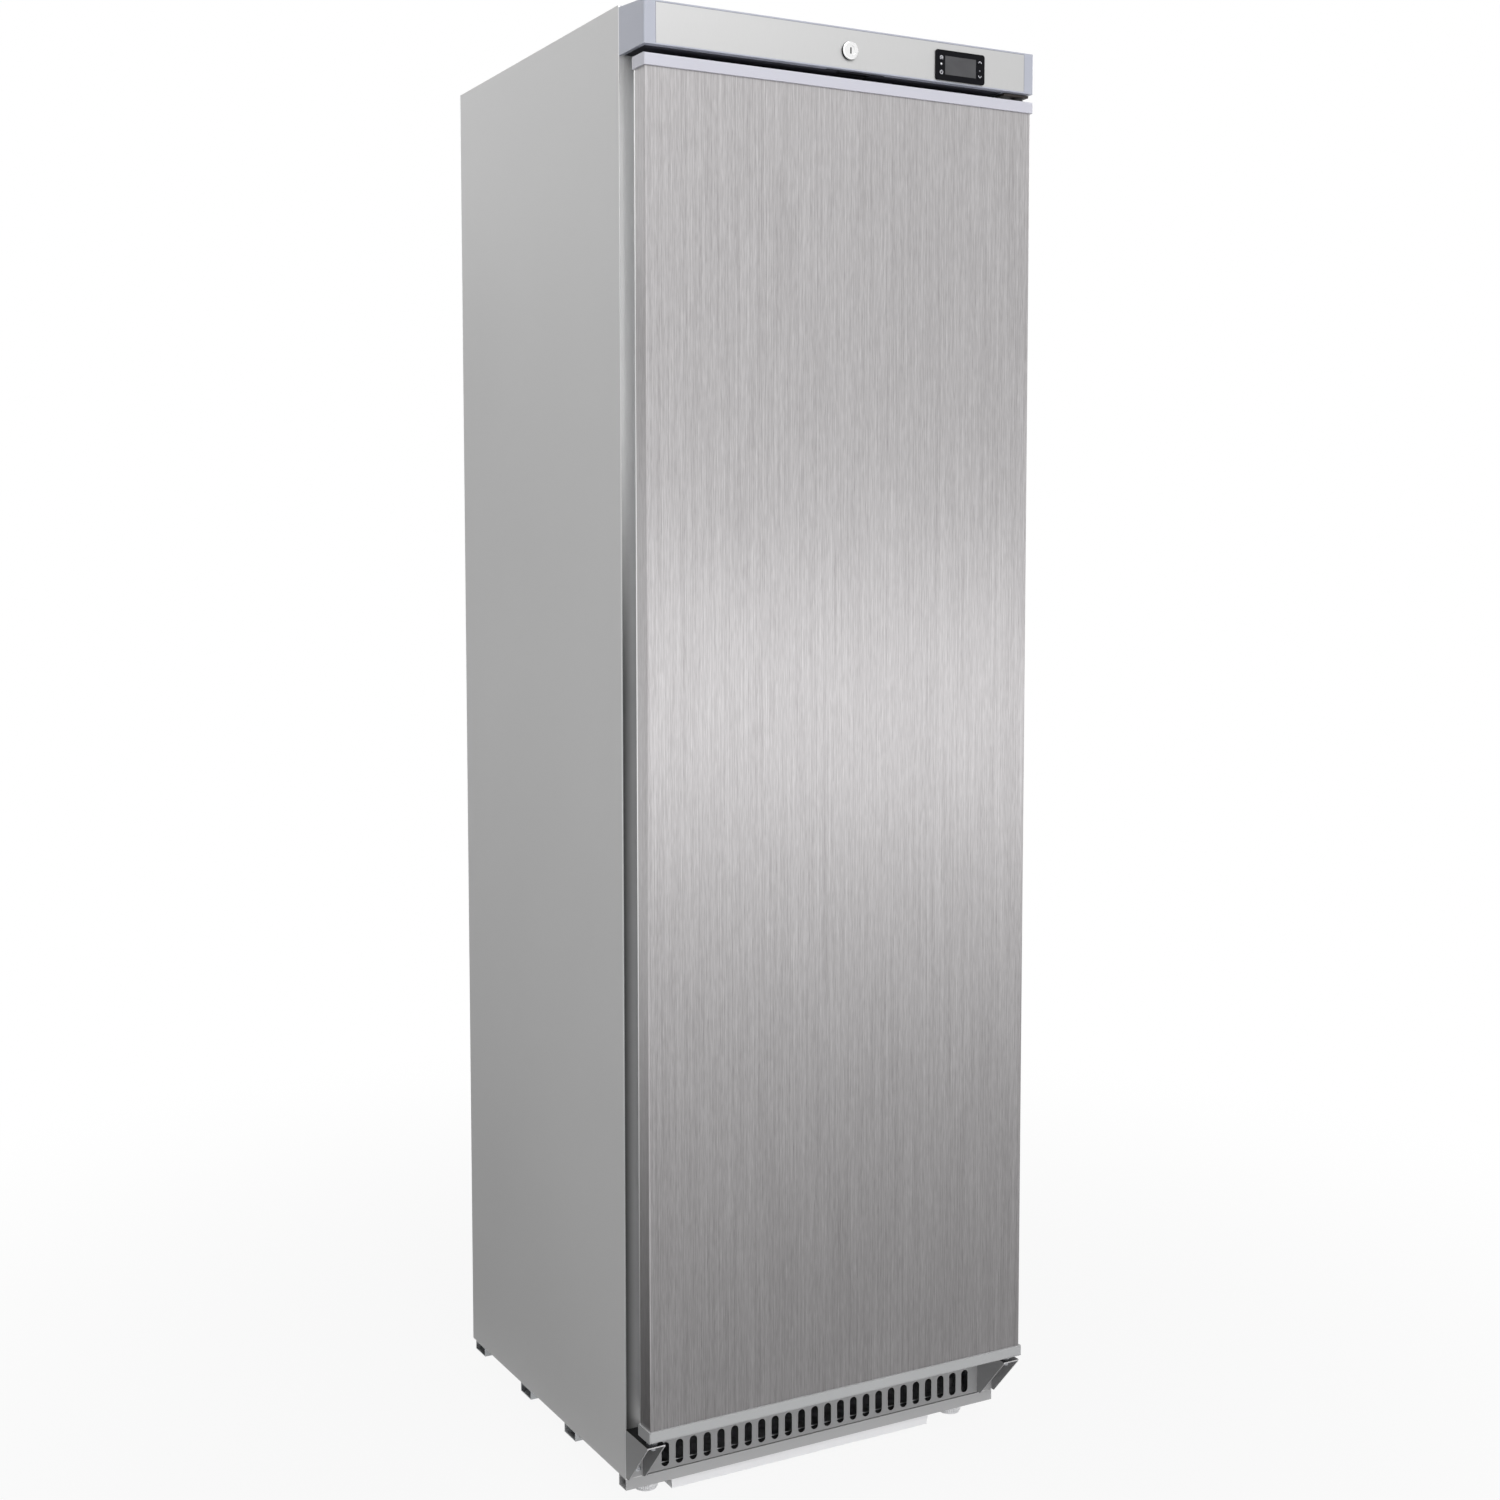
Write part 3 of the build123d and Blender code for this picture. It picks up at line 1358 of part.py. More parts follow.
# Screws of the hinge brackets, hinge plate and rear grille, and the nut behind the lock
with BuildPart() as screws_and_nuts:
    for side in (-1, 1):
        for screw_x, screw_z in bracket_screws:
            rod(side * screw_x, (bracket_face - screw_head_height, bracket_face), screw_z, screw_head_radius)
            rod(side * screw_x, (bracket_face, front_y), screw_z, screw_radius)
    plate_face = front_y - hinge_plate_thickness
    for screw_x, screw_z in upper_screws:
        rod(screw_x, (plate_face - screw_head_height, plate_face), screw_z, screw_head_radius)
        rod(screw_x, (plate_face, front_y), screw_z, screw_radius)
    for screw_x, screw_z in rear_screws:
        rod(screw_x, (grille_back, grille_back + screw_head_height), screw_z, screw_head_radius)
    with BuildSketch(front_plane(face_y + fascia_wall + lock_nut_height)):
        with Locations((0, lock_height)):
            RegularPolygon(lock_shank_radius + lock_nut_margin, side_count=6, major_radius=False)
            Circle(lock_shank_radius, mode=Mode.SUBTRACT)
    extrude(amount=lock_nut_height)
keep(screws_and_nuts, "screws_and_nuts")
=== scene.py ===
import bpy
import numpy as np
from mathutils import Matrix, Vector


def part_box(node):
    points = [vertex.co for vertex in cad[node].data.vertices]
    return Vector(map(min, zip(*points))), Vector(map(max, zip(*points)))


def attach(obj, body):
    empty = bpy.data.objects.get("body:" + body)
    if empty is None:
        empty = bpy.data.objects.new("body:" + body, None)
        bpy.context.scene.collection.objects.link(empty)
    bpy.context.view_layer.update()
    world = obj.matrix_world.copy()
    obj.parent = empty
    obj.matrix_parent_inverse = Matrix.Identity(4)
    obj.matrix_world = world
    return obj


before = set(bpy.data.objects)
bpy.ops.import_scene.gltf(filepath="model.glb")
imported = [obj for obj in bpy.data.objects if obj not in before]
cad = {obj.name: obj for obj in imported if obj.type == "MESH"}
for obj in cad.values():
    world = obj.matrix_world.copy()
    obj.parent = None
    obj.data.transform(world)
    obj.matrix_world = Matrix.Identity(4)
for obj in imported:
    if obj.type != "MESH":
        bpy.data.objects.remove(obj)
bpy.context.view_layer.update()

# Camera: stands where the photographer stood, in front of the left corner and at two
# thirds of the cabinet's height, looking slightly down. The lens is shifted a little, as
# the photograph is cropped.
photo_width_px = 1500
focal_length_px = 1930.7
centre_across_px, centre_down_px = 646, 693
film_width = 36
camera_place = Vector((-1.4118, -2.4447, 1.2511))
camera_yaw, camera_pitch, camera_roll = np.radians((27.358, -3.942, -0.239))
flat_ahead = Vector((np.sin(camera_yaw), np.cos(camera_yaw), 0))
ahead = flat_ahead * np.cos(camera_pitch) + Vector((0, 0, np.sin(camera_pitch)))
level = Vector((np.cos(camera_yaw), -np.sin(camera_yaw), 0))
above = level.cross(ahead)
rightward = level * np.cos(camera_roll) + above * np.sin(camera_roll)
upward = above * np.cos(camera_roll) - level * np.sin(camera_roll)
lens = bpy.data.cameras.new("camera")
lens.sensor_width = film_width
lens.lens = focal_length_px * film_width / photo_width_px
lens.shift_x = (photo_width_px / 2 - centre_across_px) / photo_width_px
lens.shift_y = (centre_down_px - photo_width_px / 2) / photo_width_px
lens.clip_start, lens.clip_end = 0.05, 200
camera = bpy.data.objects.new("camera", lens)
turn = Matrix((rightward, upward, -ahead)).transposed().to_4x4()
camera.matrix_world = Matrix.Translation(camera_place) @ turn
bpy.context.scene.collection.objects.link(camera)
bpy.context.scene.camera = camera
bpy.context.scene.view_settings.view_transform = "Standard"


# Room: a white backdrop all round and a floor of matt white paper that runs under the
# object. The camera, mirrored rays and rays through glass see both as white, while the
# light that they give the object is much weaker than the lamps'.
class Field:
    """A number or vector that changes over a surface; sums and products on it add Math nodes."""

    def __init__(self, finish, socket):
        self.finish = finish
        self.socket = socket

    def maths(self, operation, *others):
        """A Math node on this field and the others, in that order."""
        values = dict(enumerate((self, *others)))
        return self.finish.node("ShaderNodeMath", {"operation": operation}, values)

    def __add__(self, other):
        return self.maths("ADD", other)

    __radd__ = __add__

    def __mul__(self, other):
        return self.maths("MULTIPLY", other)

    __rmul__ = __mul__

    def __sub__(self, other):
        return self.maths("SUBTRACT", other)

    def __rsub__(self, other):
        values = {0: other, 1: self}
        return self.finish.node("ShaderNodeMath", {"operation": "SUBTRACT"}, values)

    def __gt__(self, other):
        return self.maths("GREATER_THAN", other)

    def __lt__(self, other):
        return self.maths("LESS_THAN", other)


class Finish:
    """A node material, or the node tree of a world, built up by calls that return fields."""

    def __init__(self, name, owner=None):
        self.owner = owner or bpy.data.materials.new(name)
        self.owner.use_nodes = True
        self.tree = self.owner.node_tree
        self.tree.nodes.clear()

    def node(self, kind, settings, sockets, output=0):
        """Adds a node: its settings first, then its sockets; gives back one output."""
        made = self.tree.nodes.new(kind)
        for setting, value in settings.items():
            setattr(made, setting, value)
        for name, value in sockets.items():
            if isinstance(value, Field):
                self.tree.links.new(value.socket, made.inputs[name])
            else:
                made.inputs[name].default_value = value
        return Field(self, made.outputs[output]) if made.outputs else None


def ramped(field, start, end, low=0.0, high=1.0, course="SMOOTHSTEP"):
    """A field taken from low at start to high at end, and held beyond them."""
    sockets = {"Value": field, "From Min": start, "From Max": end, "To Min": low, "To Max": high}
    settings = {"clamp": True, "interpolation_type": course}
    return field.finish.node("ShaderNodeMapRange", settings, sockets)


def in_plain_sight(finish):
    """1 for the camera's rays, mirrored rays and rays through glass, and 0 for the rays
    that light the object."""
    kinds = ("Camera", "Glossy", "Transmission")
    rays = [finish.node("ShaderNodeLightPath", {}, {}, f"Is {kind} Ray") for kind in kinds]
    return rays[0].maths("MAXIMUM", rays[1]).maths("MAXIMUM", rays[2])


white = (1, 1, 1, 1)
lit_by_room = 0.25
world = bpy.data.worlds.new("studio")
bpy.context.scene.world = world
room = Finish("studio", world)
walls = room.node("ShaderNodeBackground", {}, {"Color": white, "Strength": lit_by_room})
backdrop = room.node("ShaderNodeBackground", {}, {"Color": white, "Strength": 1.0})
both = room.node("ShaderNodeMixShader", {}, {0: in_plain_sight(room), 1: walls, 2: backdrop})
room.node("ShaderNodeOutputWorld", {}, {"Surface": both})

floor_reach = 60.0
floor_corners = np.array(((-1, -1, 0), (1, -1, 0), (1, 1, 0), (-1, 1, 0))) * floor_reach
floor_mesh = bpy.data.meshes.new("floor")
floor_mesh.from_pydata(floor_corners.tolist(), [], [(0, 1, 2, 3)])
floor = bpy.data.objects.new("floor", floor_mesh)
bpy.context.scene.collection.objects.link(floor)
shadow_end, white_start, glow_in_shadow = 0.5, 2.2, 0.92
paper_grey = (0.30, 0.30, 0.30, 1)
paper = Finish("floor_paper")
here = paper.node("ShaderNodeTexCoord", {}, {}, "Object")
away = paper.node("ShaderNodeVectorMath", {"operation": "LENGTH"}, {0: here}, "Value")
glowing = ramped(away, shadow_end, white_start, glow_in_shadow, 1.0)
matt = paper.node("ShaderNodeBsdfDiffuse", {}, {"Color": paper_grey})
glow = paper.node("ShaderNodeEmission", {}, {"Color": white, "Strength": 1.0})
both = paper.node("ShaderNodeMixShader", {}, {0: in_plain_sight(paper) * glowing, 1: matt, 2: glow})
paper.node("ShaderNodeOutputMaterial", {}, {"Surface": both})
floor_mesh.materials.append(paper.owner)


# Lamps: large soft boxes on the left, in front, on the right and behind, a strip light
# at hip height, which leaves the pale band across the door, and a low fill for the base.
def soft_box(name, place, aim, width, height, power, mirrored=True):
    """A rectangular studio light at a place, turned to face the aim."""
    light = bpy.data.lights.new(name, "AREA")
    light.shape = "RECTANGLE"
    light.size, light.size_y = width, height
    light.energy = power
    box = bpy.data.objects.new(name, light)
    facing = (Vector(aim) - Vector(place)).to_track_quat("-Z", "Y")
    box.matrix_world = Matrix.Translation(place) @ facing.to_matrix().to_4x4()
    box.visible_glossy = mirrored
    bpy.context.scene.collection.objects.link(box)


soft_box("left_soft_box", (-2.2, -0.4, 3.0), (-0.3, 0, 1.3), 2.0, 2.0, 28, mirrored=False)
soft_box("front_soft_box", (0.3, -3.2, 4.4), (0, -0.3, 1.4), 2.2, 1.6, 110)
soft_box("right_soft_box", (2.6, 0.4, 3.0), (0.3, 0, 1.2), 2.0, 2.0, 24)
soft_box("back_soft_box", (-0.4, 3.0, 3.0), (0, 0.3, 1.2), 2.0, 2.0, 30)
soft_box("strip_light", (2.2, -4.0, 0.75), (0, 0, 0.95), 3.4, 0.9, 7)
soft_box("low_fill", (-0.2, -2.4, 0.5), (0, -0.3, 0.1), 1.8, 0.8, 30, mirrored=False)


# Cards: four graded sheets round the cabinet that only its shiny faces see. Two lie on
# the floor and darken the foot of the door and of the left side, one stands far behind
# on the left, and one in front gives the door its fall from left to right.
def along(finish, axis):
    """One of the Object coordinates in metres."""
    here = finish.node("ShaderNodeTexCoord", {}, {}, "Object")
    return finish.node("ShaderNodeSeparateXYZ", {}, {0: here}, axis)


def graded_card(name, low, high, axis, span, tones, least=0.0):
    """A rectangle between two opposite corners, with its first edge along X. Its tone goes
    evenly from tones[0] to tones[1] between two places on an axis, and not under `least`."""
    ring = (low, (high[0], low[1], low[2]), high, (low[0], high[1], high[2]))
    mesh = bpy.data.meshes.new(name)
    mesh.from_pydata(ring, [], [(0, 1, 2, 3)])
    card = bpy.data.objects.new(name, mesh)
    bpy.context.scene.collection.objects.link(card)
    card.visible_camera = False
    card.visible_diffuse = False
    card.visible_shadow = False
    card.visible_transmission = False
    sheet = Finish(name)
    tone = ramped(along(sheet, axis), *span, *tones, "LINEAR").maths("MAXIMUM", least)
    grey = sheet.node("ShaderNodeCombineColor", {}, {"Red": tone, "Green": tone, "Blue": tone})
    sent = sheet.node("ShaderNodeEmission", {}, {"Color": grey, "Strength": 1.0})
    sheet.node("ShaderNodeOutputMaterial", {}, {"Surface": sent})
    mesh.materials.append(sheet.owner)


lift = 0.004
beside = 0.34
front_reach, right_reach, left_reach, back_reach = -3.6, 3.5, -4, 6
front_low, front_high = (-0.6, front_reach, lift), (right_reach, -beside, lift)
left_low, left_high = (left_reach, -beside, lift), (-beside, back_reach, lift)
rear_low, rear_high = (-9, 5, 0.1), (-0.4, 5, 8)
wall_low, wall_high = (-9, -4.6, 0.02), (9, -4.6, 8)
graded_card("front_card", front_low, front_high, "Y", (-beside, front_reach), (0.42, 1.0), least=0.48)
graded_card("left_card", left_low, left_high, "X", (-beside, -2.6), (0.06, 1.0))
graded_card("rear_card", rear_low, rear_high, "Z", (1.0, 2.4), (0.95, 0.60))
graded_card("wall_card", wall_low, wall_high, "X", (-1.0, 7.0), (1.28, 0.69))


# Cabinet shell: folded steel sheet with a smooth light grey satin coat, sprayed on and
# baked, so it has a very fine orange peel and hardly any change of colour. The fold at
# the front of each side panel carries a painted highlight, and the return behind it painted shade.
def shade(red, green, blue):
    """A colour picked on a screen, 0 to 255 a channel, as linear light: a power of
    2.4 above the screen's straight foot."""
    screen = np.array((red, green, blue)) / 255
    light = np.where(screen > 0.04045, ((screen + 0.055) / 1.055) ** 2.4, screen / 12.92)
    return (*light.tolist(), 1.0)


def darker(colour, share):
    """The same colour with its light scaled."""
    return (*(np.array(colour[:3]) * share).tolist(), 1.0)


def spot(finish, stretch=(1, 1, 1)):
    """Object coordinates in metres, stretched along each axis."""
    here = finish.node("ShaderNodeTexCoord", {}, {}, "Object")
    return finish.node("ShaderNodeVectorMath", {"operation": "MULTIPLY"}, {0: here, 1: stretch})


def grain(finish, scale, detail=2.0, stretch=(1, 1, 1), rough=0.5):
    """Noise between about 0.3 and 0.7 with `scale` cells a metre."""
    sockets = {"Vector": spot(finish, stretch), "Scale": scale, "Detail": detail, "Roughness": rough}
    return finish.node("ShaderNodeTexNoise", {}, sockets, "Fac")


def mixed(finish, amount, first, second):
    """Two colours mixed by a field between 0 and 1."""
    factor, first_colour, second_colour, mixed_colour = 0, 6, 7, 2
    sockets = {factor: amount, first_colour: first, second_colour: second}
    settings = {"data_type": "RGBA", "clamp_factor": True}
    return finish.node("ShaderNodeMix", settings, sockets, mixed_colour)


def relief(finish, height, depth):
    """A bump of `depth` metres from a height field."""
    return finish.node("ShaderNodeBump", {}, {"Height": height, "Distance": depth, "Strength": 1.0})


def coat(finish, nodes=(), pieces=(), **sockets):
    """Ends the tree at a Principled shader and paints CAD nodes and new pieces with it."""
    named = {name.replace("_", " "): value for name, value in sockets.items()}
    shader = finish.node("ShaderNodeBsdfPrincipled", {}, named)
    finish.node("ShaderNodeOutputMaterial", {}, {"Surface": shader})
    for name in nodes:
        for place in cad[name].material_slots:
            place.material = finish.owner
    for piece in pieces:
        piece.data.materials.append(finish.owner)


def painted_sheet(name, colour, nodes, shine=0.5, light_shade_and_metal=None):
    """Baked satin paint: broad soft cloudiness, fine orange peel, even gloss. A function
    may give the finish a field of metal, and a field and colour of painted highlight and shade."""
    darkest, palest, gloss = 0.96, 1.04, 0.42
    finish = Finish(name)
    cloud = grain(finish, scale=3.0, detail=3.0)
    peel = grain(finish, scale=900.0, detail=1.0)
    coloured = mixed(finish, cloud, darker(colour, darkest), darker(colour, palest))
    sockets = {}
    if light_shade_and_metal:
        sockets["Metallic"], light_shade_share, light_shade_colour = light_shade_and_metal(finish)
        coloured = mixed(finish, light_shade_share, coloured, light_shade_colour)
    coat(
        finish,
        nodes,
        Base_Color=coloured,
        Roughness=cloud * 0.08 + gloss,
        Specular_IOR_Level=shine,
        Normal=relief(finish, peel, depth=0.00003),
        **sockets,
    )


panel_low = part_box("left_side_panel")[0]
fold_width = 0.0011
return_width = 0.017
# Painted shade on the return comes in between these heights, with this metal share below.
shade_start_height, shade_full_height = 1.50, 1.05
metal_lower_down = 0.85
# Painted highlight: the near-white of the side panels' folds and of the door skin's hem.
painted_highlight = (0.95, 0.95, 0.95, 1)


def front_folds(finish):
    """The side panels' front edges: the last millimetre of the fold carries a painted
    highlight, and the return behind the door is painted pale at the top and, lower down,
    in painted shade of a more metallic grey: darkest at the fold and paler further in."""
    across = along(finish, "X").maths("ABSOLUTE")
    front = along(finish, "Y") < panel_low.y + fold_width
    folded = (across > -panel_low.x - fold_width) * front
    shaded_lower_down = ramped(along(finish, "Z"), shade_start_height, shade_full_height)
    paler_inward = ramped(across, -panel_low.x, -panel_low.x - return_width)
    steel = mixed(finish, paler_inward, shade(98, 98, 98), shade(214, 214, 214))
    painted_light = mixed(finish, shaded_lower_down, shade(250, 250, 250), steel)
    bright = mixed(finish, folded, painted_light, painted_highlight)
    return folded.maths("MAXIMUM", front * shaded_lower_down * metal_lower_down), front, bright


panel_grey = shade(212, 212, 212)
side_panels = ("left_side_panel", "right_side_panel")
plain_panels = ("top_panel", "back_panel", "rear_grille")
painted_sheet("side_panel_paint", panel_grey, side_panels, shine=0.35, light_shade_and_metal=front_folds)
painted_sheet("panel_paint", panel_grey, plain_panels, shine=0.35)

# Base frame: galvanised sheet, left bare under the cabinet and in the machine space,
# with the flowers that zinc leaves as it sets. Where the base plate's upstand shows
# through the front grille it carries painted shade, dark grey.
base_nodes = ("base_plate", "base_rails", "foot_plates", "machine_space_lining", "tray_runners")
upstand_back, upstand_foot, upstand_top = -0.2195, 0.0375, 0.0440
shade_lap = 0.0005
zinc = Finish("galvanised_sheet")
flowers = zinc.node("ShaderNodeTexVoronoi", {}, {"Vector": spot(zinc), "Scale": 110.0}, "Color")
flower_tone = zinc.node("ShaderNodeSeparateColor", {}, {"Color": flowers}, "Red")
upright = (along(zinc, "Z") > upstand_foot) * (along(zinc, "Z") < upstand_top + shade_lap)
upstand_shade = upright * (along(zinc, "Y") < upstand_back)
bare_zinc = mixed(zinc, flower_tone, shade(160, 162, 164), shade(196, 198, 200))
coat(
    zinc,
    base_nodes,
    Base_Color=mixed(zinc, upstand_shade, bare_zinc, shade(44, 44, 45)),
    Metallic=0.85,
    Roughness=flower_tone * 0.2 + 0.34,
    Normal=relief(zinc, grain(zinc, scale=260.0), depth=0.00004),
)

# Upper hinge plate: thick steel strip, not painted, and screwed to the cabinet above the
# door's right-hand corner. It is coloured dark with blotches, as painted shade in the gap under the
# fascia.
shaded_plate = Finish("shaded_hinge_plate")
blotches = grain(shaded_plate, scale=220.0, detail=3.0)
coat(
    shaded_plate,
    ("top_hinge_plate",),
    Base_Color=mixed(shaded_plate, blotches, shade(52, 48, 46), shade(82, 76, 72)),
    Metallic=0.4,
    Roughness=blotches * 0.3 + 0.4,
    Normal=relief(shaded_plate, blotches, depth=0.00006),
)

# Front base parts: the grille, the channel under it and the lower hinge brackets are pressed
# from sheet and painted in darker greys than the panels. The grille's slot walls carry painted
# shade; the brackets carry a painted highlight on their front edges and painted shade on top.
bracket_low, bracket_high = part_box("lower_hinge_brackets")
# Depth and share of the brackets' painted edge highlight, then depth of the painted shade on their
# tops.
highlight_depth, highlight_share = 0.0009, 0.7
shaded_top_depth = 0.0003
grille_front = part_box("front_grille")[0].y
slot_foot, slot_head, slots_reach = 0.0413, 0.0747, 0.260
paint_depth = 0.0001


def bracket_highlight_and_shade(finish):
    """The front cut edge of the brackets' top plates carries a painted highlight, and the
    top faces under the door's cap carry painted shade, dark grey."""
    painted_light = along(finish, "Y") < bracket_low.y + highlight_depth
    shaded_top = along(finish, "Z") > bracket_high.z - shaded_top_depth
    colour = mixed(finish, shaded_top, shade(238, 238, 239), shade(52, 52, 53))
    bare = (painted_light * highlight_share).maths("MAXIMUM", shaded_top)
    return bare, bare, colour


def shaded_slot_walls(finish):
    """The walls of the grille's slots in painted shade, dark grey: all that lies behind the
    front face within the slots' rows."""
    height = along(finish, "Z")
    in_slot_shade = along(finish, "Y") > grille_front + paint_depth
    in_slot_shade = in_slot_shade * (height > slot_foot) * (height < slot_head)
    in_slot_shade = in_slot_shade * (along(finish, "X").maths("ABSOLUTE") < slots_reach)
    return 0.0, in_slot_shade, shade(26, 26, 27)


painted_sheet("bracket_paint", shade(150, 150, 151), ("lower_hinge_brackets",), light_shade_and_metal=bracket_highlight_and_shade)
painted_sheet("grille_paint", shade(141, 141, 142), ("front_grille",), light_shade_and_metal=shaded_slot_walls)
painted_sheet("channel_paint", shade(166, 166, 167), ("front_base_channel",))


# Rolled edge: the base plate's front upstand ends in a bright rolled bead of the same
# sheet, which shows as a thin line through the grille's slots.
def closed_rings(rings, tip, tail):
    """Rings of points, one row each, joined by four-sided faces; a fan of three-sided
    faces closes the first ring to the tip and the last ring to the tail."""
    rows, columns = rings.shape[:2]
    near = np.arange(rows - 1)[:, None] * columns + np.arange(columns)
    beside = np.arange(rows - 1)[:, None] * columns + (np.arange(columns) + 1) % columns
    quads = np.stack((near, beside, beside + columns, near + columns), -1).reshape(-1, 4)
    first, last = np.arange(columns), np.arange(columns) + (rows - 1) * columns
    tips, tails = np.full(columns, rows * columns), np.full(columns, rows * columns + 1)
    front_fan = np.stack((tips, np.roll(first, -1), first), -1)
    back_fan = np.stack((tails, last, np.roll(last, -1)), -1)
    points = np.concatenate((rings.reshape(-1, 3), (tip, tail)))
    return points, quads, np.concatenate((front_fan, back_fan))


def swept(path, profile, up):
    """A closed (u, v) profile carried along a path: every path point gets a ring of
    point + side * u + lift * v, with side square to the path and to `up`."""
    path, profile = np.asarray(path, float), np.asarray(profile, float)
    course = np.gradient(path, axis=0)
    course /= np.linalg.norm(course, axis=1)[:, None]
    side = np.cross(course, up)
    side /= np.linalg.norm(side, axis=1)[:, None]
    lift = np.cross(side, course)
    rings = path[:, None] + side[:, None] * profile[:, :1] + lift[:, None] * profile[:, 1:]
    return closed_rings(rings, rings[0].mean(0), rings[-1].mean(0))


def made_piece(name, parts, body, smooth=True):
    """One object from closed parts, each turned so that its signed volume, the sum of
    a . (b x c) over its triangles, is above zero."""
    points, faces, start = [], [], 0
    for part_points, quads, triangles in parts:
        corners = np.concatenate((quads[:, :3], quads[:, [0, 2, 3]], triangles))
        a, b, c = (part_points[corners[:, n]] - part_points.mean(0) for n in range(3))
        turn = 1 if np.einsum("ij,ij->i", a, np.cross(b, c)).sum() > 0 else -1
        faces += (quads[:, ::turn] + start).tolist() + (triangles[:, ::turn] + start).tolist()
        points.append(part_points)
        start += len(part_points)
    mesh = bpy.data.meshes.new(name)
    mesh.from_pydata(np.concatenate(points).tolist(), [], faces)
    if smooth:
        mesh.shade_smooth()
    piece = bpy.data.objects.new(name, mesh)
    bpy.context.scene.collection.objects.link(piece)
    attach(piece, body)
    return piece


def oval(width, height, count):
    """Points on an ellipse of that width and height, one every equal angle."""
    turn = np.linspace(0, 2 * np.pi, count, endpoint=False)
    return np.stack((np.cos(turn) * width / 2, np.sin(turn) * height / 2), 1)


bead_left, bead_right, bead_y = -0.2745, 0.2185, -0.2214
bead_depth, bead_height = 0.0020, 0.0018
bead_points, bead_sides = 30, 12
bead_start, bead_end = (bead_left, bead_y, upstand_top), (bead_right, bead_y, upstand_top)
bead_path = np.linspace(bead_start, bead_end, bead_points)
bead = swept(bead_path, oval(bead_depth, bead_height, bead_sides), (0, 0, 1))
rolled_edge = made_piece("upstand_rolled_edge", [bead], "cabinet")
bright_edge = Finish("bright_rolled_edge")
scuffs = grain(bright_edge, scale=1.0, stretch=(60, 600, 600))
coat(
    bright_edge,
    pieces=(rolled_edge,),
    Base_Color=mixed(bright_edge, scuffs, shade(205, 206, 208), shade(228, 229, 230)),
    Metallic=1.0,
    Roughness=scuffs * 0.2 + 0.25,
)

# Door skin: one folded stainless sheet, brushed upright on a belt, which leaves fine
# lines of uneven length that spread highlights sideways. The hem round its back edge is
# pressed flat and carries a painted highlight.
skin_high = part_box("door_skin")[1]
side_depth, hem_depth = 0.0003, 0.0026
skin = Finish("brushed_door_steel")
long_lines = grain(skin, scale=1.0, stretch=(1300, 1300, 5), rough=0.6)
short_lines = grain(skin, scale=1.0, detail=1.0, stretch=(1900, 1900, 60))
lines = long_lines * 0.55 + short_lines * 0.45
line_contrast = (lines - 0.5) * 2.5 + 0.5
brushed = mixed(skin, line_contrast, shade(153, 150, 151), shade(201, 199, 200))
outer_side = along(skin, "X").maths("ABSOLUTE") > skin_high.x - side_depth
hem = outer_side * (along(skin, "Y") > skin_high.y - hem_depth)
coat(
    skin,
    ("door_skin",),
    Base_Color=mixed(skin, hem, brushed, painted_highlight),
    Metallic=1.0,
    Roughness=lines * 0.12 + 0.26,
    Anisotropic=0.6,
    Normal=relief(skin, lines, depth=0.00002),
)

# Fascia insert: a thin steel strip pressed into the plastic housing, with a finer
# brushing than the door's and a paler look. Its top and ends carry a fine line of painted shade.
insert_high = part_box("fascia_insert")[1]
seam_width = 0.0005
insert = Finish("pale_insert_steel")
insert_lines = grain(insert, scale=1.0, stretch=(1500, 1500, 60))
at_end = along(insert, "X").maths("ABSOLUTE") > insert_high.x - seam_width
seam_shade = at_end.maths("MAXIMUM", along(insert, "Z") > insert_high.z - seam_width)
insert_tone = mixed(insert, insert_lines, shade(186, 186, 186), shade(192, 192, 192))
coat(
    insert,
    ("fascia_insert",),
    Base_Color=mixed(insert, seam_shade, insert_tone, shade(104, 104, 118)),
    Metallic=0.75,
    Roughness=insert_lines * 0.08 + 0.36,
    Anisotropic=0.4,
    Normal=relief(insert, insert_lines, depth=0.00001),
)


# Plastic mouldings: the fascia housing and the two door caps are injection moulded in
# pale lavender and plain grey, satin, with a trace of the mould's fine texture. Inside the
# housing, round the lock's cam, the plastic carries painted shade, nearly black.
def moulding(
    name,
    colour,
    nodes=(),
    pieces=(),
    gloss=0.34,
    texture=1600.0,
    depth=0.00001,
    shine=0.5,
    painted_shade=None,
):
    """Moulded plastic: even colour, fine sparked texture, slightly uneven gloss. A function
    may give the finish a field that is 1 where the moulding carries painted shade, nearly black."""
    darkest, palest = 0.97, 1.03
    finish = Finish(name)
    cloud = grain(finish, scale=9.0)
    sparked = grain(finish, texture, detail=1.0)
    coloured = mixed(finish, cloud, darker(colour, darkest), darker(colour, palest))
    if painted_shade:
        coloured = mixed(finish, painted_shade(finish), coloured, shade(8, 8, 12))
    coat(
        finish,
        nodes,
        pieces,
        Base_Color=coloured,
        Roughness=cloud * 0.06 + gloss,
        Specular_IOR_Level=shine,
        Normal=relief(finish, sparked, depth),
    )


recess_middle, recess_half_width, recess_front, recess_top = 0.015, 0.045, -0.2915, 1.936


def lock_recess_shade(finish):
    """1 inside the housing round the lock's cam, where it carries painted shade: nearer to the
    lock's middle than half the recess, behind its front and below its top."""
    near_lock = (along(finish, "X") - recess_middle).maths("ABSOLUTE") < recess_half_width
    return near_lock * (along(finish, "Y") > recess_front) * (along(finish, "Z") < recess_top)


moulding("fascia_plastic", shade(176, 179, 191), ("fascia_housing",), painted_shade=lock_recess_shade)
moulding("cap_plastic", shade(197, 197, 207), ("door_top_cap",))
moulding("lower_cap_plastic", shade(162, 163, 164), ("door_bottom_cap",))
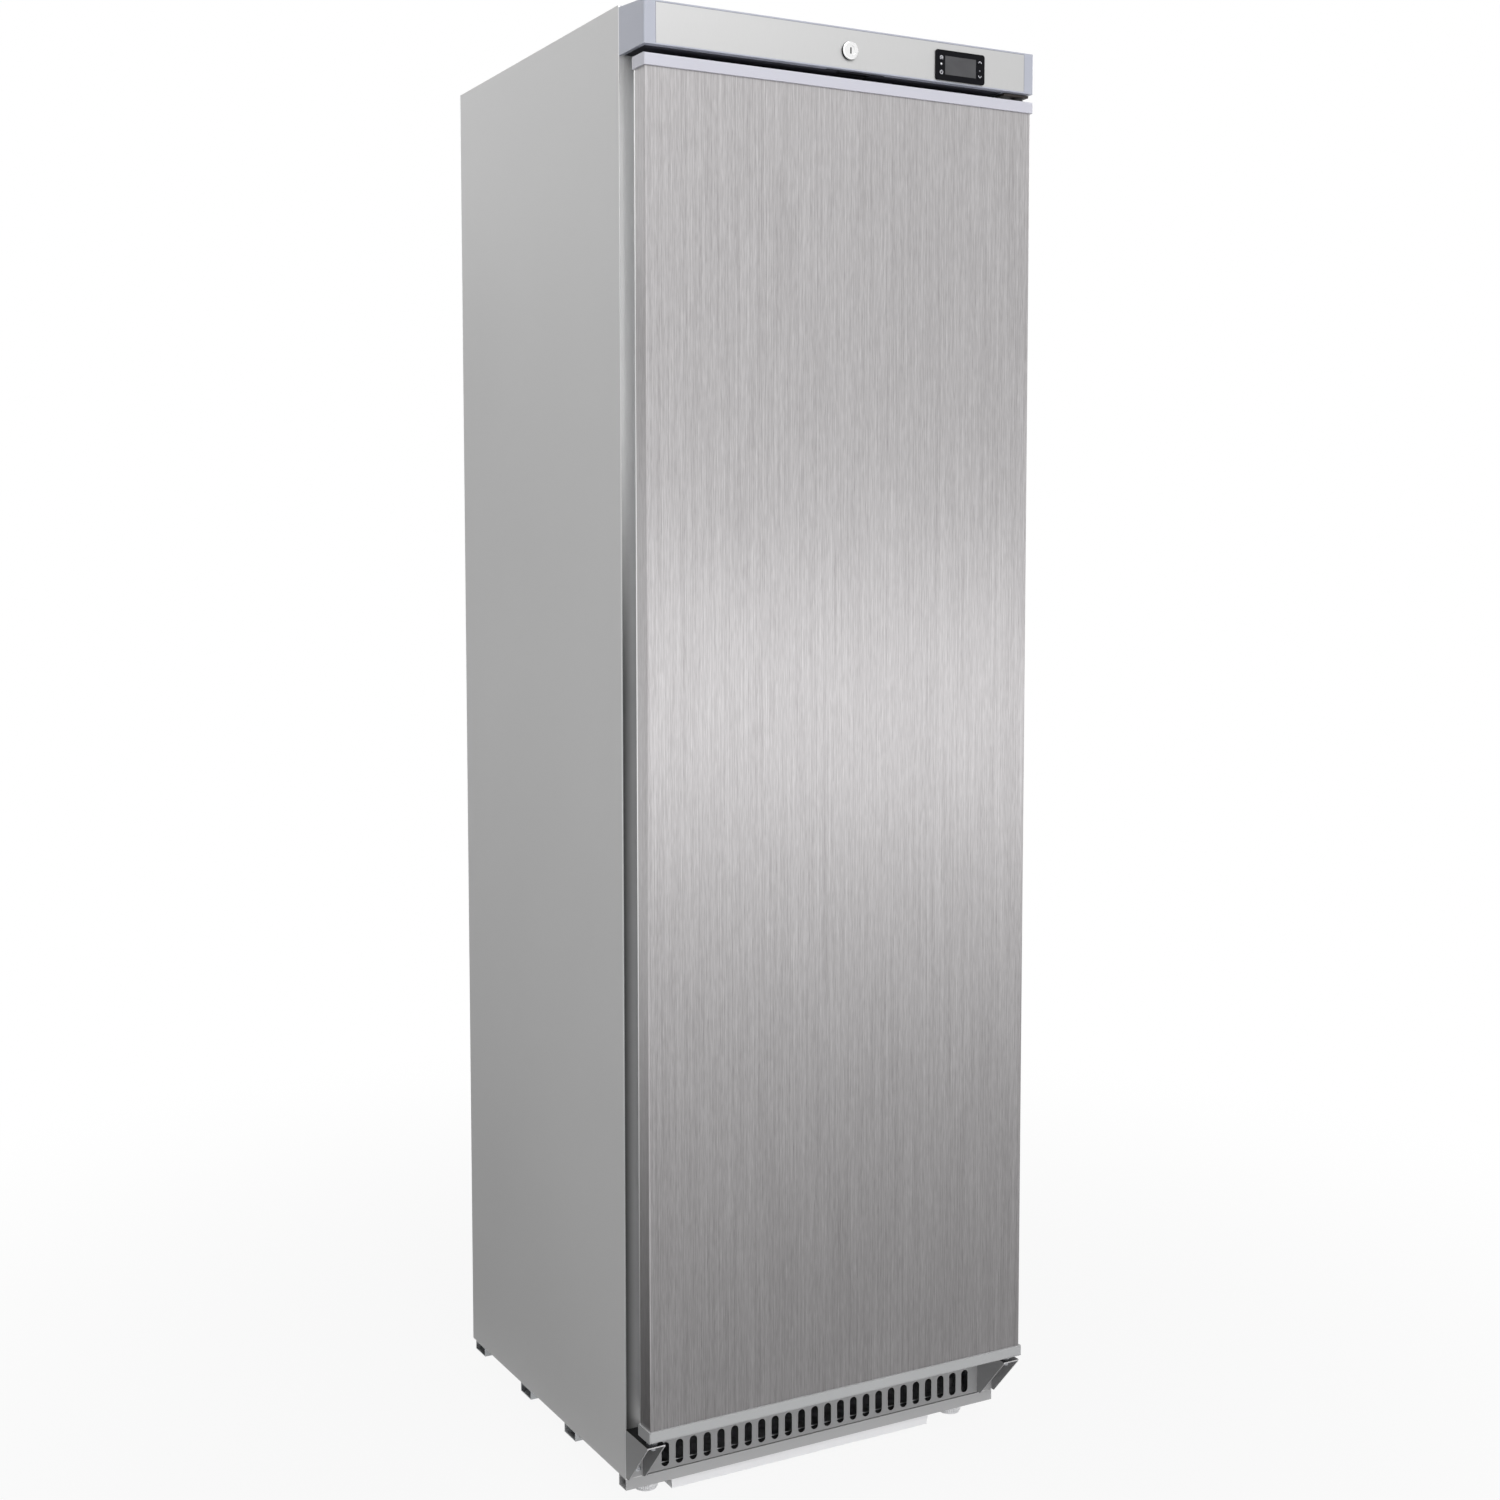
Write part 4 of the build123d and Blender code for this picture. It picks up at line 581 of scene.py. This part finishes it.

# Fascia gap shade: flat dark strips under the housing, put in as painted shade for the gap
# over the door. They leave an opening round the lock's cam, with only a narrow lip in front.
housing_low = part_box("fascia_housing")[0]
gap_shade_thickness = 0.0009
gap_shade_left, gap_shade_right = housing_low.x + 0.0060, 0.2520
gap_shade_front, gap_shade_back = housing_low.y + 0.0098, housing_low.y + 0.0640
cam_left, cam_right, cam_back = -0.0104, 0.0404, housing_low.y + 0.0234
lip_width = 0.0024
squareness = 0.35
gap_shade_points, gap_shade_sides = 12, 24
gap_shade_runs = (
    (gap_shade_left, cam_left, gap_shade_front, gap_shade_back),
    (cam_right, gap_shade_right, gap_shade_front, gap_shade_back),
    (cam_left, cam_right, cam_back, gap_shade_back),
    (cam_left, cam_right, gap_shade_front, gap_shade_front + lip_width),
)
round_edge = oval(1, 1, gap_shade_sides)
pillow = np.abs(round_edge) ** squareness * np.sign(round_edge)
pillow = pillow / np.abs(pillow).max(0)
strips = []
for left, right, front, back in gap_shade_runs:
    halfway = (front + back) / 2
    run_start, run_end = (left, halfway, housing_low.z), (right, halfway, housing_low.z)
    run = np.linspace(run_start, run_end, gap_shade_points)
    strips.append(swept(run, pillow * ((back - front) / 2, gap_shade_thickness), (0, 0, 1)))
gap_shade_piece = made_piece("fascia_gap_shade", strips, "cabinet")
moulding(
    "gap_shade_strip",
    shade(64, 64, 70),
    pieces=(gap_shade_piece,),
    gloss=0.95,
    texture=900.0,
    depth=0.0001,
    shine=0.1,
)


# Lock and small plated parts: the lock's body and barrel are turned brass, polished and
# chromed; its cam, the hinge pins, screws and nuts are zinc plated, and the probe in the
# storage space is bare stainless tube.
def plated(name, colour, nodes=(), pieces=(), gloss=0.12, shaded_from=None):
    """Bright plating: nearly even colour with a haze of fine marks in the gloss; behind a
    given depth it carries painted shade, dark grey, as on the side of a lock's rim."""
    darkest = 0.94
    finish = Finish(name)
    haze = grain(finish, scale=240.0, detail=3.0)
    coloured = mixed(finish, haze, darker(colour, darkest), colour)
    if shaded_from:
        coloured = mixed(finish, along(finish, "Y") > shaded_from, coloured, shade(40, 41, 43))
    coat(
        finish,
        nodes,
        pieces,
        Base_Color=coloured,
        Metallic=1.0,
        Roughness=haze * 0.14 + gloss,
        Normal=relief(finish, haze, depth=0.000008),
    )


lock_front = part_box("lock_body")[0].y
rim_depth = 0.0012
lock_parts = ("lock_body", "lock_barrel")
zinc_parts = ("lock_cam", "hinge_pins", "screws_and_nuts")
# The side of the lock's rim carries painted shade, dark grey.
plated("lock_chrome", shade(244, 244, 244), lock_parts, shaded_from=lock_front + rim_depth)
plated("probe_steel", shade(206, 207, 209), ("temperature_probe",))
plated("bright_zinc", shade(196, 198, 202), zinc_parts, gloss=0.2)


# Screw heads: zinc plated pan heads, domed and stamped with a cross, in the lower hinge
# brackets and in the corners of the rear grille.
def domed_head(x, face, z, facing):
    """A pan head on rings of radius r: its height is rise * (1 - (r / reach) ^ 3), less
    the stamp's depth where two soft-edged bars cross, and a wall down to the face."""
    reach, rise, stamp, sunk = 0.0042, 0.0009, 0.0010, 0.0003
    bar_half, bar_reach, soft = 0.00045, 0.0025, 0.00007
    innermost, ring_count, around, cross_turn = 0.06, 22, 56, 0.4
    out = np.linspace(innermost, 1, ring_count)[:, None] * reach
    turn = np.linspace(0, 2 * np.pi, around, endpoint=False)
    across, over = out * np.cos(turn + cross_turn), out * np.sin(turn + cross_turn)
    narrow = np.minimum(np.abs(across), np.abs(over))
    bars = 1 / (1 + np.exp((narrow - bar_half) / soft))
    stamped = bars / (1 + np.exp((out - bar_reach) / soft))
    height = rise * (1 - (out / reach) ** 3) - stamp * stamped
    height = np.concatenate((height, np.full((1, around), -sunk)))
    out = np.concatenate((out, out[-1:]))
    rings = np.stack((x + out * np.cos(turn), face + facing * height, z + out * np.sin(turn)), -1)
    tip, tail = (x, face + facing * (rise - stamp), z), (x, face - facing * sunk, z)
    return closed_rings(rings, tip, tail)


bracket_face = -0.2332
bracket_places = [(side * x, z) for side in (-1, 1) for x, z in ((0.2840, 0.050), (0.2900, 0.082))]
heads = [domed_head(x, bracket_face, z, -1) for x, z in bracket_places]
screws_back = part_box("screws_and_nuts")[1].y
grille_low, grille_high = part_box("rear_grille")
corner_inset = 0.020
for x in (grille_low.x + corner_inset, grille_high.x - corner_inset):
    for z in (grille_low.z + corner_inset, grille_high.z - corner_inset):
        heads.append(domed_head(x, screws_back, z, 1))
screw_heads = made_piece("screw_heads", heads, "cabinet")
plated("screw_zinc", shade(188, 190, 194), pieces=(screw_heads,), gloss=0.24)

# Controller: a black moulded bezel clipped into the fascia, with four small keys in
# wells of their own and a smoked window over the display.
controller_nodes = ("controller_body", "key_up", "key_down", "key_defrost", "key_power")
moulding("controller_plastic", shade(9, 9, 14), controller_nodes, gloss=0.45, shine=0.08)
smoked = Finish("smoked_window")
sheen = grain(smoked, scale=24.0, stretch=(1, 1, 1.6))
coat(
    smoked,
    ("controller_window",),
    Base_Color=mixed(smoked, sheen, shade(62, 62, 64), shade(88, 88, 91)),
    Roughness=sheen * 0.1 + 0.2,
    Specular_IOR_Level=0.3,
)


# Key signs: each key has its sign printed on its face in white ink: an arrow up, an arrow
# down, a melting dome with three drips, and a broken ring with an upright bar.
def arc(centre, radius, start, end, count):
    """Points on a circle between two angles in degrees."""
    turn = np.radians(np.linspace(start, end, count))
    return np.stack((centre[0] + radius * np.cos(turn), centre[1] + radius * np.sin(turn)), 1)


def middle(node):
    """The centre of a CAD node's front face, as x and z, and the face's y."""
    low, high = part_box(node)
    return np.array(((low.x + high.x) / 2, (low.z + high.z) / 2)), low.y


def key_sign(key, strokes):
    """Strokes of (x, z) points on a key's face, each one a flat ribbon of ink: a rectangle
    of width by ink carried along the stroke."""
    width, ink = 0.0010, 0.00008
    centre, face = middle(key)
    ribbon = np.array(((-width / 2, 0), (width / 2, 0), (width / 2, ink), (-width / 2, ink)))
    courses = [np.insert(np.asarray(stroke, float) + centre, 1, face, axis=1) for stroke in strokes]
    parts = [swept(course, ribbon, (0, -1, 0)) for course in courses]
    return made_piece(f"{key}_sign", parts, key, smooth=False)


half_sign, half_rise = 0.0027, 0.0013
sill, dome_radius, drip_foot, drip_apart = -0.0003, 0.0021, -0.0026, 0.0019
ring_radius, bar_foot, bar_head = 0.0022, 0.0003, 0.0028
chevron = np.array(((-half_sign, -half_rise), (0, half_rise), (half_sign, -half_rise)))
dome = arc((0, sill), dome_radius, 0, 180, 17)
sill_line = ((-half_sign, sill), (half_sign, sill))
drips = [((x, -half_rise), (x, drip_foot)) for x in (-drip_apart, 0, drip_apart)]
broken_ring = arc((0, sill), ring_radius, 120, 420, 25)
key_signs = [
    key_sign("key_up", [chevron]),
    key_sign("key_down", [chevron * (1, -1)]),
    key_sign("key_defrost", [dome, sill_line, *drips]),
    key_sign("key_power", [broken_ring, ((0, bar_foot), (0, bar_head))]),
]
white_ink = Finish("sign_print")
ink_tone = mixed(white_ink, grain(white_ink, scale=2500.0), shade(186, 186, 194), shade(208, 208, 214))
coat(white_ink, pieces=key_signs, Base_Color=ink_tone, Roughness=0.5)


# Indicator lenses: a small round lens of milky plastic sits between each pair of keys,
# pressed into the bezel from behind. The left one is lit, the right one is dim.
def lamp_dome(name, x, z, face, radius):
    """A round lens: rings whose distance from the middle goes as the sine and whose height
    as the cosine of an even turn, then a straight wall back into the bezel."""
    rise, sunk = 0.0003, 0.0004
    turn = np.linspace(0, 2 * np.pi, 24, endpoint=False)
    lean = np.radians((20, 45, 70, 90, 90))[:, None]
    wall = np.array((0, 0, 0, 0, sunk))[:, None]
    out = radius * np.sin(lean)
    depth = face - rise * np.cos(lean) + wall + 0 * turn
    rings = np.stack((x + out * np.cos(turn), depth, z + out * np.sin(turn)), -1)
    lens_part = closed_rings(rings, (x, face - rise, z), (x, face + sunk, z))
    return made_piece(name, [lens_part], "cabinet")


bezel_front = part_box("controller_body")[0].y
left_x = middle("key_power")[0][0]
right_x = middle("key_up")[0][0]
left_lamp_z, left_lamp_radius = 1.9080, 0.0015
right_lamp_z, right_lamp_radius = 1.9052, 0.0012
left_lamp = lamp_dome("defrost_lamp", left_x, left_lamp_z, bezel_front, left_lamp_radius)
right_lamp = lamp_dome("cooling_lamp", right_x, right_lamp_z, bezel_front, right_lamp_radius)
moulding("lit_lens", shade(225, 225, 228), pieces=(left_lamp,), gloss=0.25)
moulding("dim_lens", shade(110, 110, 116), pieces=(right_lamp,), gloss=0.25)

# Liners and shelf clips: the cabinet's and the door's liners are vacuum formed from
# glossy white sheet, slightly pebbled, and foamed in place; the clips are the same white.
liner_nodes = ("door_liner", "inner_liner", "shelf_clips")
moulding("liner_plastic", shade(220, 221, 222), liner_nodes, gloss=0.3, texture=500.0)

# Gasket: soft grey vinyl with fine ribs, extruded round a magnetic strip, welded at the
# corners and pushed into a groove in the door's liner.
vinyl = Finish("gasket_vinyl")
ribs = grain(vinyl, scale=700.0)
coat(
    vinyl,
    ("door_gasket",),
    Base_Color=mixed(vinyl, ribs, shade(146, 148, 152), shade(166, 168, 172)),
    Roughness=0.55,
    Normal=relief(vinyl, ribs, depth=0.00005),
)

# Foam: yellow polyurethane, blown between the outer sheets and the liners of cabinet and
# door, in fine cells. A pale tape covers its outer edges.
tape_width = 0.005
for node in ("door_foam", "cabinet_insulation"):
    foam_low, foam_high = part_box(node)
    foam = Finish(f"{node}_cells")
    cells = foam.node("ShaderNodeTexVoronoi", {}, {"Vector": spot(foam), "Scale": 420.0}, "Distance")
    taped = along(foam, "X").maths("ABSOLUTE") > foam_high.x - tape_width
    taped = taped.maths("MAXIMUM", along(foam, "Z") > foam_high.z - tape_width)
    taped = taped.maths("MAXIMUM", along(foam, "Z") < foam_low.z + tape_width)
    blown = mixed(foam, cells, shade(214, 196, 140), shade(238, 226, 182))
    coat(
        foam,
        (node,),
        Base_Color=mixed(foam, taped, blown, shade(206, 207, 209)),
        Roughness=0.9 - taped * 0.45,
        Normal=relief(foam, cells * (1 - taped), depth=0.0004),
    )

# Bushes, gland and terminal cover: small black mouldings, pressed or clipped in: nylon
# bushes in the door's caps, the cable gland, and the cover on the compressor's terminals.
black_nodes = ("hinge_bushes", "power_gland", "compressor_terminal_cover")
moulding("black_bush", shade(28, 28, 30), black_nodes, gloss=0.4)

# Tray and drain: white polypropylene with a waxy satin face, the tray injection moulded
# and slid in on its runners, the drain an extruded tube.
moulding("white_polypropylene", shade(238, 238, 240), ("drip_tray", "drain_tube"), gloss=0.38)

# Feet: white plastic, each one moulded round a zinc plated stud with a rolled thread,
# which screws into a weld nut in the base.
foot_nodes = ("front_left_foot", "front_right_foot", "rear_left_foot", "rear_right_foot")
foot_height = 0.022
thread_pitch = 0.00125
stud = Finish("foot_and_stud")
threaded = along(stud, "Z") > foot_height
turns = (along(stud, "Z") * (2 * np.pi / thread_pitch)).maths("SINE")
speckle = grain(stud, scale=9.0)
plastic = mixed(stud, speckle, shade(226, 226, 228), shade(232, 232, 234))
# The thread's colour is painted shade in its roots and a painted highlight on its crests.
thread_shade_and_highlight = mixed(stud, turns * 0.5 + 0.5, shade(120, 122, 125), shade(235, 236, 238))
coat(
    stud,
    foot_nodes,
    Base_Color=mixed(stud, threaded, plastic, thread_shade_and_highlight),
    Metallic=threaded * 0.9,
    Roughness=speckle * 0.06 + 0.33,
    Normal=relief(stud, turns * threaded, depth=0.0003),
)

# Shelves: welded steel wire dipped in white plastic, which gathers slightly at the welds,
# resting loose on their clips.
dipped = Finish("dipped_wire")
dip_marks = grain(dipped, scale=90.0)
coat(
    dipped,
    ("wire_shelf_1", "wire_shelf_2", "wire_shelf_3", "wire_shelf_4"),
    Base_Color=mixed(dipped, dip_marks, shade(208, 210, 212), shade(224, 225, 226)),
    Roughness=dip_marks * 0.12 + 0.28,
    Normal=relief(dipped, dip_marks, depth=0.0001),
)

# Evaporator and condenser: a white moulded cover with a guard in front of the evaporator,
# dark plastic fans pressed on their motors' shafts, and aluminium fins pressed onto tube.
moulding("cover_plastic", shade(212, 213, 215), ("evaporator_cover",), gloss=0.36, texture=700.0)
moulding("fan_plastic", shade(34, 34, 36), ("evaporator_fan", "condenser_fan"), gloss=0.42)
fins = Finish("bare_aluminium")
rolled = grain(fins, scale=1.0, stretch=(40, 900, 900))
coat(
    fins,
    ("evaporator_coil", "condenser_coil"),
    Base_Color=mixed(fins, rolled, shade(176, 178, 181), shade(214, 216, 219)),
    Metallic=1.0,
    Roughness=rolled * 0.2 + 0.28,
    Normal=relief(fins, rolled, depth=0.00003),
)

# Compressor and motors: pressed steel cans in black enamel, dipped and baked. The
# compressor stands on moulded rubber grommets.
enamel = Finish("black_enamel")
lumps = grain(enamel, scale=160.0, detail=3.0)
coat(
    enamel,
    ("compressor", "evaporator_fan_motor", "condenser_fan_motor"),
    Base_Color=mixed(enamel, lumps, shade(20, 20, 22), shade(40, 40, 43)),
    Roughness=lumps * 0.25 + 0.25,
    Normal=relief(enamel, lumps, depth=0.00015),
)
grommet_nodes = ("compressor_grommets",)
moulding("grommet_rubber", shade(30, 30, 31), grommet_nodes, gloss=0.7, texture=900.0, depth=0.00005)

# Refrigerant lines: drawn copper tube, bent and brazed, and dulled by handling and heat
# into darker and paler stretches.
copper = Finish("drawn_copper")
tarnish = grain(copper, scale=35.0, detail=4.0)
coat(
    copper,
    ("refrigerant_lines",),
    Base_Color=mixed(copper, tarnish, shade(150, 92, 66), shade(214, 140, 104)),
    Metallic=1.0,
    Roughness=tarnish * 0.3 + 0.2,
    Normal=relief(copper, tarnish, depth=0.00004),
)
